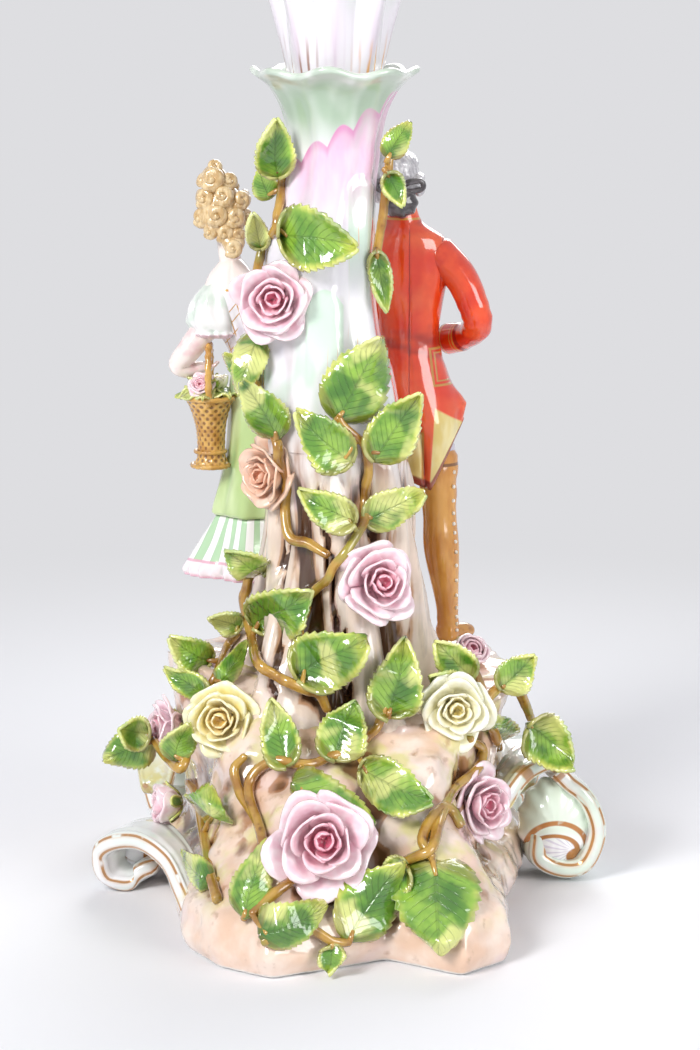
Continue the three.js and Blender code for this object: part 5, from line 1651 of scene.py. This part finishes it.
def hair_glaze(name, light, dark, hollow_shade, strand_way):
    made = Finish(name)
    strands = made.clouds(1.5, 4, strand_way).between(0.35, 0.65)
    made.ground(light, dark, strands)
    # Painted shade in the hollows between the curls and locks.
    made.wash(hollow_shade, made.sunk(0.55, 0.9) * 0.8)
    return made.glaze(0.2, extra=strands * 0.12)


WIG_TINTS = (222, 220, 222), (176, 172, 178)
HAIR_TINTS = (232, 206, 160), (200, 164, 110)
skin_finish = Finish("skin_glaze", (250, 236, 230), (240, 208, 208), (5, 2), (0.42, 0.66))
skin_glaze = skin_finish.glaze(0.17, ripple=0.05)

# %% [markdown]
# ### The gallant's clothes
# His coat is pinched at the waist and its skirts are cut away: the hem hangs lowest behind. The turned
# skirts show a pale yellow lining, the pocket has a double gold outline, and the hem is a darker roll.

# %% Coat
COAT = [(32, 35, 137, 12.6, 10.5), (31, 35, 150, 14.4, 12), (29, 36, 163, 16.6, 13.4),
        (27, 36, 176, 14, 12), (26, 36, 190, 11, 9.5), (26, 35, 205, 12.6, 10), (26, 35, 217, 14.6, 9.6),
        (26, 34, 226, 13, 8), (24, 34, 232, 7, 6), (23, 34, 238, 5.4, 5)]
coat_rows = eased(COAT, 8)


def coat_place(angle, ring):
    count = len(coat_rows)
    x, y, z, across, deep = coat_rows[min(max(ring - 3, 0), count - 1)]
    level = max(0, ring - 3) / 8
    hang = clamp((176 - z) / 20)
    rear = exp(-((angle - 1.5 * pi) / 0.045) ** 2)
    scale = 1 + 0.06 * hang * cos(5 * angle) + 0.02 * hang * cos(11 * angle + 1)
    scale += 0.014 * sin(1.1 * z + 4 * cos(angle)) * exp(-((z - 187) / 6) ** 2)
    scale += 0.01 * grain(angle, 4, z / 7)
    scale -= 0.03 * rear * exp(-((z - 196) / 26) ** 2)
    scale -= 0.1 * rear * clamp((166 - z) / 8)
    scale -= 0.045 * exp(-((angle - 1.5 * pi) / 0.4) ** 2 - ((z - 208) / 12) ** 2)
    if ring < 3:
        scale *= (0, 0.8, 0.96)[ring]
        z += (8, 4, 0.3)[ring]
    elif ring < 6:
        scale *= (1.0, 1.03, 1.02)[ring - 3]
    if ring == count + 3:
        scale = 0
    px, py = x + across * scale * cos(angle), y + deep * scale * sin(angle)
    rise = min(27, max(0, px - 34) * 2 + max(0, 34 - px) * 0.4 + max(0, py - 36) * 2.4)
    return px, py, z + rise * float(np.interp(level, (0, 1, 2, 3), (1, 0.6, 0.2, 0)))


coat = swept("coat_modelled", len(coat_rows) + 4, 160, coat_place)
keep_hollows(coat, 16, 0.6)
scarlet = Finish("coat_glaze", (238, 78, 26), (222, 52, 14), (12, 3), (0.36, 0.66))
x, y, z = scarlet.axes()
run = scarlet.uv()[1]
rear = y.between(37, 34)


def boxed(off_x, off_z, half_x, half_z):
    """Distance to the outline of an upright box. It is below 0 inside."""
    return (off_x.size() - half_x).most(off_z.size() - half_z)


def line(distance, at, half):
    return (distance - at).size().between(half + 0.18, half - 0.1)


# Painted shade: deep red in the folds of the coat. Painted highlight: orange-red on their ridges.
scarlet.wash((150, 26, 16), scarlet.sunk(0.55, 0.9) * 0.8)
scarlet.wash((240, 116, 66), scarlet.sunk(0.44, 0.24) * 0.4)
pocket = boxed(x - 38.5 + (z - 182) * 0.12, z - 181, 4.4, 6.4)
gold = (line(pocket, 0, 0.38) + line(pocket, -1.5, 0.25)).least(1) * rear
left_turn = x.between(31.2, 30.6) * (z - (31 - x) * 0.5).between(157.5, 156.8) * z.between(140.5, 141.2)
right_turn = (x - (z - 141) * 0.06).between(33.4, 34.0) * (z + (x - 40) * 0.6).between(164.4, 163.4)
turned = (left_turn + right_turn).least(1) * rear
lining = scarlet.mix((242, 226, 164), (226, 200, 116), scarlet.clouds(8, 3, (1, 1, 0.4)).between(0.4, 0.64))
scarlet.wash(lining, turned)
edging = ((x - 31).size().between(0.6, 0.25) * z.between(160, 157) + line((z - (31 - x) * 0.5), 157.6, 0.3)
          * x.between(31.4, 31)).least(1) * rear
scarlet.wash((196, 140, 60), (gold + edging).least(1) * 0.95)
scarlet.wash((136, 22, 18), run.between(0.07, 0.06) * 0.9)
collar_line = line(z, 233.4, 0.35)
scarlet.wash((206, 150, 60), collar_line * 0.9)
seam = (line((x - 26).size() - (z - 218) * 0.05, 11.6, 0.25) * z.between(206, 210)
        + line(x, 26, 0.12) * z.between(150, 154) * z.between(232, 228)).least(1)
scarlet.wash((158, 30, 18), seam * rear * 0.6)
dressed(coat, scarlet.glaze(0.14, ripple=0.08, extra=seam * -0.25 + gold * 0.12))
finished(coat, "stand", "coat", "man_coat")

# %% Sleeves and hands
def wrinkled(angle, share):
    bend = exp(-((share - 0.55) / 0.14) ** 2)
    return 1 + 0.035 * bend * sin(70 * share + 2 * cos(angle)) + 0.02 * cos(3 * angle + 9 * share)


def cuffed(angle, share):
    return wrinkled(angle, share) + 0.1 * clamp((share - 0.8) / 0.02) * (share < 0.985)


cloth = Finish("sleeve_glaze", (238, 78, 26), (218, 50, 14), (9, 3), (0.36, 0.64))
run = cloth.uv()[1]
cloth.wash((166, 30, 18), (run - 0.8).size().between(0.022, 0.008))
cuff_gold = line(run * 60, 49.6, 0.3) + line(run * 60, 51.2, 0.2) + line(run * 60, 56.4, 0.3)
cloth.wash((214, 162, 72), cuff_gold.least(1))
sleeve_glaze = cloth.glaze(0.14, ripple=0.1)
for side, path, radii in (
        ("right", [(36, 34, 221), (44, 32, 213), (48.5, 30, 204), (50.5, 31, 196), (47, 38, 191),
                   (41, 46, 189)], [6.6, 6, 5.6, 5.2, 4.7, 5.2]),
        ("left", [(15, 34, 222), (7, 38, 213), (2, 43, 203), (-1, 48, 198)], [7, 6, 5.5, 5.8])):
    sleeve = dressed(limb(f"{side}_sleeve_modelled", path, radii, 40, 9, cuffed), sleeve_glaze)
    finished(sleeve, "stand", "coat", f"man_{side}_sleeve")
for side, path in (("right", [(41.5, 43.5, 188.8), (37, 48, 187), (33, 49, 185)]),
                   ("left", [(-0.6, 47.6, 198.4), (-5, 51, 196), (-9, 52, 195)])):
    palm = dressed(hand(f"{side}_hand_modelled", path, 3.2), skin_glaze)
    finished(palm, "stand", "skin", f"man_{side}_hand")

# %% Waistcoat and neckcloth
WAIST = [(26, 41, 164, 7, 7), (26, 42, 176, 8.4, 8), (26, 41.7, 200, 7.6, 7), (25, 40.5, 224, 6, 6),
         (23, 38.4, 231, 6.4, 6), (22, 36, 237.2, 4, 4)]


def frill(angle, z):
    front = max(0, sin(angle))
    jabot = clamp((z - 219) / 5) * front ** 2
    button = 0.05 * exp(-((angle - pi / 2) / 0.07) ** 2) * (z < 216) * max(0, cos(z * 1.05)) ** 6
    return 1 + 0.07 * jabot * sin(1.5 * z + 3 * cos(5 * angle)) + button


waistcoat = upright("waistcoat_modelled", WAIST, 96, frill, 14)
vest = Finish("waistcoat_glaze", (246, 232, 170), (236, 214, 132), (7, 3), (0.4, 0.64))
x, _, z = vest.axes()
sprigs = vest.clouds(2.6, 1).between(0.66, 0.7)
vest.wash((214, 112, 140), sprigs * 0.9)
buttons = line(x, 25.7, 0.55) * (z * 1.05).sine().between(0.6, 0.9)
vest.wash((202, 150, 64), buttons * z.between(217, 215))
vest.wash((252, 251, 250), z.between(219, 221))
dressed(waistcoat, vest.glaze())
finished(waistcoat, "stand", "lemon", "man_waistcoat")
face = head("man_head_modelled", (20, 35, 248.5), 9.6, -1.1, -2, WIG_TINTS)
finished(face, "stand", "skin", "man_head")


# %% Wig and its bag
def combed(angle, z):
    rear = max(0, -sin(angle))
    wave = 0.02 * sin(1.6 * z + 2 * cos(2 * angle)) * (0.4 + rear)
    return 1 + wave + 0.018 * cos(26 * angle + 0.5 * z)


WIG = [(20, 30, 239, 5.5, 4.6), (20, 30.4, 244, 9.2, 7), (20, 30.8, 248, 9.4, 8), (20, 32, 253.8, 8.4, 8.4),
       (20, 33, 257.4, 5.0, 5.4)]
locks = [upright("wig_modelled", WIG, 120, combed, 8)]
for side in (-1, 1):
    for height in (243.2, 247.6):
        locks.append(limb("side_roll", [(20 + side * 9.2, 27, height), (20 + side * 9.4, 31, height),
                                        (20 + side * 9.0, 35, height)], [1.7, 2.1, 1.8], 20, 5,
                          lambda angle, share: 1 + 0.08 * cos(2 * angle + 9 * share)))
brow_roll = [(12, 35, 252), (14, 39.4, 254.4), (20, 41.4, 256), (26, 39.4, 254.4), (28, 35, 252)]
locks.append(limb("brow_roll", brow_roll, [1.5, 1.9, 2.1, 1.9, 1.5], 20, 6,
                  lambda angle, share: 1 + 0.05 * cos(5 * angle + 12 * share)))
wig = keep_hollows(joined(locks, "wig_modelled"), 10, 0.4)
dressed(wig, hair_glaze("wig_glaze", *WIG_TINTS, (118, 112, 118), (1, 1, 0.3)))
finished(wig, "stand", "wig", "man_wig")


def gathered(angle, polar):
    return 1 + 0.04 * cos(9 * angle) * sin(polar) - 0.1 * exp(-((angle - pi / 2) / 0.4) ** 2)


bag = egg("bag_modelled", (22.5, 23, 239.6), (6.4, 4.6, 5.6), 64, 24, gathered)
LOOP = [(0, 23.6, 244.6), (3, 23, 246.6), (7.4, 23.4, 247), (8, 23.8, 244.4), (3.6, 23.4, 243.4),
        (0, 23.2, 244.2)]
LOOP_RADII = [1.1, 1.2, 1.0, 1.0, 1.1, 0.9]
ties = [limb("bow_loop", [(22.5 + side * x, y, z) for x, y, z in LOOP], LOOP_RADII, 12, 5)
        for side in (-1, 1)]
ties.append(egg("bow_knot", (22.5, 22.8, 244.6), (1.9, 1.5, 1.7), 20, 10))
bag = keep_hollows(joined([bag] + ties, "bag_modelled"), 10, 0.5)
silk = Finish("ribbon_glaze", (98, 92, 94), (52, 47, 50), (3, 3), (0.36, 0.62))
# Painted shade in the folds of the bag and the bow.
silk.wash((26, 22, 24), silk.sunk(0.55, 0.85) * 0.8)
dressed(bag, silk.glaze(0.16))
finished(bag, "stand", "ribbon", "man_wig_bag")


# %% Breeches, gaiters and shoes
def slack(angle, share):
    return 1 + 0.03 * sin(24 * share + 3 * cos(angle)) + 0.02 * cos(5 * angle)


lilac = Finish("breeches_glaze", (206, 200, 214), (176, 168, 188), (6, 3, (1, 1, 0.5)), (0.38, 0.64))
z = lilac.axes()[2]
lilac.wash((120, 108, 124), line(z, 150.2, 0.35) * 0.8)
lilac_glaze = lilac.glaze()
legs = [dressed(limb("breeches_modelled", path, [8.3, 7.9, 7.4], 40, 8, slack), lilac_glaze)
        for path in ([(29, 38, 161), (32.7, 36, 154.8), (36.4, 34, 148.6)],
                     [(22, 40, 161), (20, 40.5, 154.8), (18, 41, 148.6)])]
finished(joined(legs, "breeches_modelled"), "stand", "lilac", "man_breeches")

canvas = Finish("gaiter_glaze", (226, 164, 76), (204, 134, 50), (7, 3, (1, 1, 0.4)), (0.36, 0.64))
z = canvas.axes()[2]
# Painted shade in the gaiters' folds.
canvas.wash((128, 78, 34), canvas.sunk(0.54, 0.85) * 0.8)
canvas.wash((96, 60, 34), line(z, 145.6, 0.5) * 0.8)
canvas_glaze = canvas.glaze()
leather = Finish("shoe_glaze", (206, 148, 72), (168, 108, 46), (4, 2), (0.4, 0.64))
z = leather.axes()[2]
leather.wash((58, 38, 30), z.between(81.9, 81.4))
shoe_glaze = leather.glaze()
bead = Finish("button_glaze", (250, 246, 236), (222, 204, 172), (1.2,), (0.4, 0.6))
button_glaze = bead.glaze()


def wrapped(angle, share):
    knee = exp(-((share - 0.14) / 0.1) ** 2)
    ankle = exp(-((share - 0.86) / 0.08) ** 2)
    return 1 + 0.05 * (knee + ankle) * sin(60 * share + 2 * cos(angle)) + 0.02 * cos(4 * angle)


GAITER_RADII = [7.4, 6, 6.3, 4, 4.2]
for side, path, toe in (
        ("right", [(36.6, 34, 148), (37.4, 32, 128), (38.2, 31, 114), (40.4, 32, 93), (40.6, 32.4, 82)],
         Vector((49, 38, 82.6))),
        ("left", [(18, 41, 148), (17, 43, 128), (17, 42, 113), (16, 42, 93), (16, 42.4, 82)],
         Vector((13, 51, 82.6)))):
    ankle = Vector(path[4])
    heel, ball = ankle.lerp(toe, -0.2), ankle.lerp(toe, 0.6)
    heel.z = ball.z = 83.2
    gaiter = keep_hollows(limb(f"{side}_gaiter", path, GAITER_RADII, 48, 10, wrapped), 12, 0.4)
    parts = [dressed(gaiter, canvas_glaze),
             dressed(limb("shoe", [heel, ball, toe], [2.7, 3, 2.3], 24, 6), shoe_glaze)]
    for px, py, pz, radius in eased([[*p, r] for p, r in zip(path, GAITER_RADII)], 4)[1:-1]:
        button = egg("button", (px + radius * 0.8, py - radius * 0.62, pz), (0.75, 0.75, 0.75), 14, 8)
        parts.append(dressed(button, button_glaze))
    finished(joined(parts, f"{side}_gaiter_modelled"), "stand", "gaiter", f"man_{side}_gaiter")


# %% [markdown]
# ### The shepherdess
# She leans out with a basket on her arm. Her hair is built of round curls over a plain core, her
# sleeves are puffed and end in a scalloped frill, and her two skirts hang in deep folds: a green one
# strewn with daisies over a striped one with a ruffled hem.

# %% Bodice, sleeves and arms
BODICE = [(-29, 35, 178, 8.6, 8), (-30, 35, 184, 7.6, 7), (-33, 34, 194, 9.6, 8.4), (-36, 33, 204, 11.6, 9),
          (-37, 33, 212, 8.8, 7), (-37, 33, 216.6, 5.6, 5),
          (-37, 33, 219, 3.4, 3.4)]


def laced(angle, z):
    rear = exp(-((angle - 1.5 * pi) / 0.06) ** 2)
    return 1 - 0.03 * rear + 0.008 * cos(14 * angle) * (z < 200)


bodice = upright("bodice_modelled", BODICE, 96, laced, 8)
satin = Finish("bodice_glaze", (246, 240, 244), (222, 212, 224), (7, 3, (1, 1, 0.4)), (0.4, 0.64))
x, y, z = satin.axes()
middle = x + 35 + (z - 204) * -0.25
crossing = ((z * 0.9 + middle * 1.6).sine().between(0.86, 1)
            + (z * 0.9 - middle * 1.6).sine().between(0.86, 1))
satin.wash((196, 142, 70), crossing.least(1) * middle.size().between(3, 2.4) * y.between(34, 30)
           * z.between(207, 204))
satin.wash((250, 236, 230), z.between(208.4, 209))
satin.wash((214, 160, 80), line(z, 208.6, 0.35))
dressed(bodice, satin.glaze())
finished(bodice, "stand", "white", "lady_bodice")

muslin = Finish("sleeve_white_glaze", (248, 247, 246), (218, 230, 218), (8, 3), (0.42, 0.66))
z = muslin.axes()[2]
# Painted shade: grey-green in the folds of the puffed sleeves.
muslin.wash((190, 206, 192), muslin.sunk(0.55, 0.85) * 0.7)
muslin.wash((226, 176, 196), z.between(193.6, 192.6) * 0.7)
muslin_glaze = muslin.glaze()
for side, toward, y in (("left", -1, 31), ("right", 1, 35)):
    rows = [(-36 + 6.4 * toward, y, 191.6, 7.2, 7.2), (-36 + 7 * toward, y, 193, 8.7, 8.6),
            (-36 + 7.2 * toward, y, 194.4, 8.3, 7.8), (-36 + 7.5 * toward, y, 197.4, 9.4, 8.7),
            (-36 + 7 * toward, y, 203, 8.6, 8), (-36 + 5 * toward, y + 1, 209, 6.4, 6.4),
            (-36 + 2.4 * toward, y + 2, 214, 3, 3.4)]

    def puffed(angle, z):
        frill = exp(-((z - 192.6) / 1.1) ** 2)
        folds = exp(-((z - 201) / 6) ** 2)
        return (1 + 0.05 * cos(6 * angle) + frill * 0.05 * cos(18 * angle)
                + folds * 0.03 * cos(11 * angle + 0.5 * z))
    sleeve = keep_hollows(upright(f"{side}_puff_modelled", rows, 120, puffed, 6), 14, 0.5)
    finished(dressed(sleeve, muslin_glaze), "stand", "white", f"lady_{side}_sleeve")
arm = limb("left_arm_modelled", [(-46, 31, 195), (-52, 30, 187), (-56, 30, 181.6), (-52, 31.6, 179.6),
                                 (-47.4, 32.4, 180.2)], [4.8, 4.4, 3.6, 3.1, 2.4], 28, 7)
fist = hand("left_fist", [(-48, 32.4, 180), (-45, 32.8, 180.8), (-42, 33, 181.2)], 2.5, 0.8)
finished(dressed(joined([arm, fist], "left_arm_modelled"), skin_glaze), "stand", "skin", "lady_left_arm")
arm = limb("right_arm_modelled", [(-24, 37, 196), (-20, 42, 190), (-16, 46, 190)], [4.4, 3.8, 2.6], 28, 7)
fist = hand("right_fist", [(-16.6, 45.4, 190), (-14.2, 48, 190.8), (-11.4, 50.8, 192.6)], 2.6)
finished(dressed(joined([arm, fist], "right_arm_modelled"), skin_glaze), "stand", "skin", "lady_right_arm")

# %% Head and hair
face = head("lady_head_modelled", (-39, 36, 234), 8.8, -1.92, -0.9, HAIR_TINTS)
finished(face, "stand", "skin", "lady_head")
CURLS = [  # centre, radius, the way it faces
    ((-45.6, 27.4, 241), 3.4, (-0.5, -1, 0.1)), ((-39.4, 24.6, 242), 3.3, (0, -1, 0.2)),
    ((-33.6, 27, 240.4), 3.1, (0.5, -1, 0.1)), ((-47, 29, 234.2), 3.2, (-0.8, -1, 0)),
    ((-41.6, 24.4, 235.4), 3.4, (-0.1, -1, 0)), ((-35.4, 24.6, 234.6), 3.2, (0.3, -1, 0)),
    ((-32.4, 28.6, 233.8), 2.8, (0.9, -0.8, 0)), ((-39, 24.8, 229), 3.0, (0, -1, -0.2)),
    ((-44, 27, 229.6), 2.6, (-0.6, -1, -0.2)), ((-34.6, 25.6, 228.4), 2.6, (0.4, -1, -0.2)),
    ((-36, 23.6, 223.8), 2.9, (0, -1, 0)), ((-43, 25.8, 248), 3.8, (-0.2, -1, 0.1)),
    ((-37.6, 27.4, 247), 2.8, (0.4, -1, 0.3)), ((-42.6, 27.6, 251.6), 2.6, (0, -1, 0.6)),
    ((-46.4, 30.4, 246.4), 2.8, (-0.9, -0.5, 0.3)), ((-47.2, 33, 240.6), 2.7, (-1, -0.3, 0)),
    ((-32.2, 33, 240), 2.7, (1, -0.2, 0)), ((-40.4, 35.4, 246.2), 2.8, (0, 0.5, 1)),
    ((-44.4, 34.6, 244.6), 2.4, (-0.5, 0.6, 0.8)), ((-36.2, 34.6, 244.2), 2.4, (0.5, 0.6, 0.8))]
CORE = [(-36, 25.6, 220.6, 2, 2), (-36, 25.8, 225, 4.2, 3.4), (-37.6, 28, 228.4, 5.2, 4.2),
        (-40.2, 29.6, 233, 8.4, 6.2), (-40, 30.8, 240, 8, 6.8), (-40.4, 31, 244.6, 5, 5.2),
        (-42.5, 30, 249, 4.6, 4.4), (-42.6, 30, 252.4, 2, 2)]
locks = [upright("hair_modelled", CORE, 60, None, 5)]
locks += [curl(centre, radius * 1.18, facing) for centre, radius, facing in CURLS]
hair = keep_hollows(joined(locks, "hair_modelled"), 8, 0.4)
golden = hair_glaze("hair_glaze", *HAIR_TINTS, (146, 104, 62), (1, 1, 0.5))
finished(dressed(hair, golden), "stand", "hair", "lady_hair")


# %% Skirts
def hanging(angle, z):
    depth = min(1, (178 - z) / 60)
    return (1 + depth * (0.07 * cos(6 * angle + z / 25) + 0.025 * cos(13 * angle - z / 18))
            + 0.012 * cos(34 * angle) * max(0, 1 - abs(z - 174) / 8))


OVER = [(-27.5, 36, 127, 16, 14), (-27.5, 36, 130, 16.4, 14.4), (-26, 36, 148, 13.6, 12.6),
        (-26.5, 36, 164, 12, 11.5), (-29, 35, 175, 9, 8.6), (-29.4, 35, 177.6, 8, 7.8)]
over = keep_hollows(upright("overskirt_modelled", OVER, 160, hanging, 9), 20, 0.7)
daisy = Finish("overskirt_glaze", (214, 230, 178), (184, 208, 140), (14, 3, (1, 1, 0.4)), (0.4, 0.64))
# Painted shade: deeper green in the folds of the overskirt.
daisy.wash((140, 176, 116), daisy.sunk(0.54, 0.85) * 0.8)
spread = daisy.node("ShaderNodeVectorMath", {"operation": "MULTIPLY"}, [daisy.place(), (1, 0.2, 1)])
DAISY_GAP = 10.5
cell = {"Vector": spread, "Scale": 1 / DAISY_GAP, "Randomness": 0.55}
near = daisy.node("ShaderNodeTexVoronoi", {}, cell, 0)
seat = Value(daisy, near.socket.node.outputs["Position"])
scaled = daisy.node("ShaderNodeVectorMath", {"operation": "SCALE"}, {0: spread, "Scale": 1 / DAISY_GAP})
off = daisy.axes(daisy.node("ShaderNodeVectorMath", {"operation": "SUBTRACT"}, [scaled, seat]))
turn = daisy.turn(off[2], off[0])
reach = (off[0] * off[0] + off[2] * off[2]) ** 0.5
petals = (reach - (turn * 9).sine() * 0.045).between(0.3, 0.26) * reach.between(0.07, 0.1)
daisy.wash((226, 126, 164), petals * 0.9)
daisy.wash((240, 200, 90), reach.between(0.1, 0.06))
dressed(over, daisy.glaze())
finished(over, "stand", "skirt", "lady_overskirt")


def ruffled_hem(angle, z):
    hem = clamp((111 - z) / 5)
    return hanging(angle, z) + 0.03 * hem * cos(30 * angle)


UNDER = [(-27, 38, 104.6, 26, 19), (-27, 38, 108, 26.4, 19.4), (-26.5, 38, 117, 21.6, 17),
         (-26.6, 37, 126.5, 16, 14)]
under = keep_hollows(upright("underskirt_modelled", UNDER, 240, ruffled_hem, 10), 16, 0.7)
striped = Finish("underskirt_glaze")
x, y, z = striped.axes()
turn = striped.turn(y - 38, x + 27)
stripes = (turn * 22).sine()
striped.ground((250, 249, 248), (184, 218, 178), stripes.between(0.0, 0.35))
striped.wash((120, 166, 112), (stripes - 0.2).size().between(0.12, 0.04) * 0.6)
striped.wash((250, 238, 242), z.between(111, 109.6))
striped.wash((228, 160, 186), (line(z, 110.4, 0.4) + z.between(106, 104.8)).least(1) * 0.8)
# Painted shade: grey in the folds of the underskirt.
striped.wash((176, 178, 170), striped.sunk(0.55, 0.85) * 0.6)
parts = [dressed(under, striped.glaze())]
stocking = Finish("stocking_glaze", (250, 247, 246), (226, 218, 226), (5, 2), (0.4, 0.64))
z = stocking.axes()[2]
stocking.wash((224, 124, 156), z.between(85.6, 85.0))
stocking.wash((66, 44, 40), z.between(81.6, 81.2))
stocking_glaze = stocking.glaze()
for x, y, toe in ((-31, 39, -33), (-19, 43, -17)):
    parts.append(dressed(limb("leg", [(x, y, 112), (x, y, 96), (x, y, 82.4)], [3.6, 3, 2.6], 24, 6),
                         stocking_glaze))
    parts.append(dressed(limb("slipper", [(x, y - 0.6, 82.9), (x, y + 4, 83), (toe, y + 9, 82.2)],
                              [2.6, 2.4, 1.8], 20, 6), stocking_glaze))
finished(joined(parts, "underskirt_modelled"), "stand", "skirt", "lady_underskirt")

# %% [markdown]
# ### Basket and posy
# The basket is waisted. Its weave is a wave over the angle times a wave over the height, so that
# each strand goes over one stake and under the next. The posy is two rings of ruffled leaves round a
# small rose and a bud, made with the same leaf and petal patterns as the garland.

# %% Basket
BASKET = [(-44.6, 30, 144.5, 6.4, 6.4), (-44.6, 30, 145.6, 6.6, 6.6), (-44.6, 30, 149, 5, 5),
          (-44.7, 30, 158, 5.2, 5.2), (-44.9, 30, 165, 6.7, 6.7), (-45, 30, 169.2, 8.4, 8.4),
          (-45, 30, 170.4, 8.5, 8.5)]


def woven(angle, z):
    return 1 + 0.032 * cos(13 * angle + (pi if int(z / 1.5) % 2 else 0)) + 0.012 * cos(4.19 * z)


ROPE_STEPS = 72
basket = [upright("basket_modelled", BASKET, 156, woven, 12)]
for radius, height, thick in ((8.4, 169.8, 0.9), (5.3, 150.4, 0.7), (6.5, 145.4, 0.8)):
    def rope_place(angle, ring):
        around = tau * (ring % ROPE_STEPS) / ROPE_STEPS
        twist = 1 + 0.22 * cos(2 * angle + 18 * around)
        reach = radius + thick * twist * cos(angle)
        return (-44.9 + reach * cos(around), 30 + reach * sin(around),
                height + thick * twist * sin(angle))
    basket.append(swept("basket_rope", ROPE_STEPS + 1, 12, rope_place))
arch = [(-45, y, z) for y, z in ((22.6, 168), (21.6, 177), (24, 185), (30, 188.6), (36, 185), (38.4, 177),
                                 (37.4, 168))]
basket.append(limb("basket_handle", arch, [1.3] * 7, 14, 12,
                   lambda angle, share: 1 + 0.18 * cos(2 * angle + 90 * share)))
straw_basket = keep_hollows(joined(basket, "basket_modelled"), 6, 0.25)
wicker = Finish("basket_glaze", (226, 178, 92), (192, 138, 56), (5, 3), (0.38, 0.64))
# Painted shade: dark brown in the gaps of the weave.
wicker.wash((116, 70, 24), wicker.sunk(0.52, 0.8) * 0.85)
finished(dressed(straw_basket, wicker.glaze(0.17)), "stand", "gold", "flower_basket")

# %% Posy
OUTER_LEAVES, INNER_LEAVES = 8, 5
posy = []
chance = random.Random(31)
for k in range(OUTER_LEAVES + INNER_LEAVES):
    inner = k >= OUTER_LEAVES
    around = tau * (k + chance.uniform(-0.2, 0.2)) / (INNER_LEAVES if inner else OUTER_LEAVES)
    heading = Vector((cos(around), sin(around), 0))
    across = Vector((-heading.y, heading.x, 0))
    length, width = (5.4, 5.6) if inner else (9.4, 7.6)
    rise, droop = (0.6, -0.2) if inner else (0.36, 0.5)
    leaf = copied(leaf_pattern, "posy_leaf")
    for point, rest_point in zip(leaf.data.vertices, leaf_pattern.data.vertices):
        t, w = (rest_point.co.x + 1) / 2, rest_point.co.y
        along_share, across_share, height = leaf_shape(t, w, 1.6)
        lift = rise * t - droop * t * t + 0.12 * height + 0.16 * sin(8 * t + k) * abs(w)
        spot = (Vector((-46, 30, 171.6 + (1.6 if inner else 0))) + heading * (2 + length * along_share)
                + across * across_share * width / 2 + Vector((0, 0, lift * length)))
        point.co = spot * MM
    applied(leaf, "SOLIDIFY", thickness=0.8 * MM, offset=0)
    tidy_mesh(leaf, merge=False)
    posy.append(dressed(leaf, leaf_glaze))
bloom = rose("posy_rose", "full", 4.6, 41)
set_down(bloom, (-48, 24.4, 175.4), (-0.1, -0.8, 0.6))
posy.append(dressed(bloom, ROSE_GLAZES["pink"]))
bud = rose("posy_bud", "bud", 3.2, 43)
set_down(bud, (-42, 31, 175.8), (0, 0, 1))
posy.append(dressed(bud, ROSE_GLAZES["cream"]))
finished(joined(posy, "posy_modelled"), "stand", "leaf", "basket_posy")
for pattern in (leaf_pattern, petal_pattern):
    bpy.data.objects.remove(pattern)
print("figures ready")
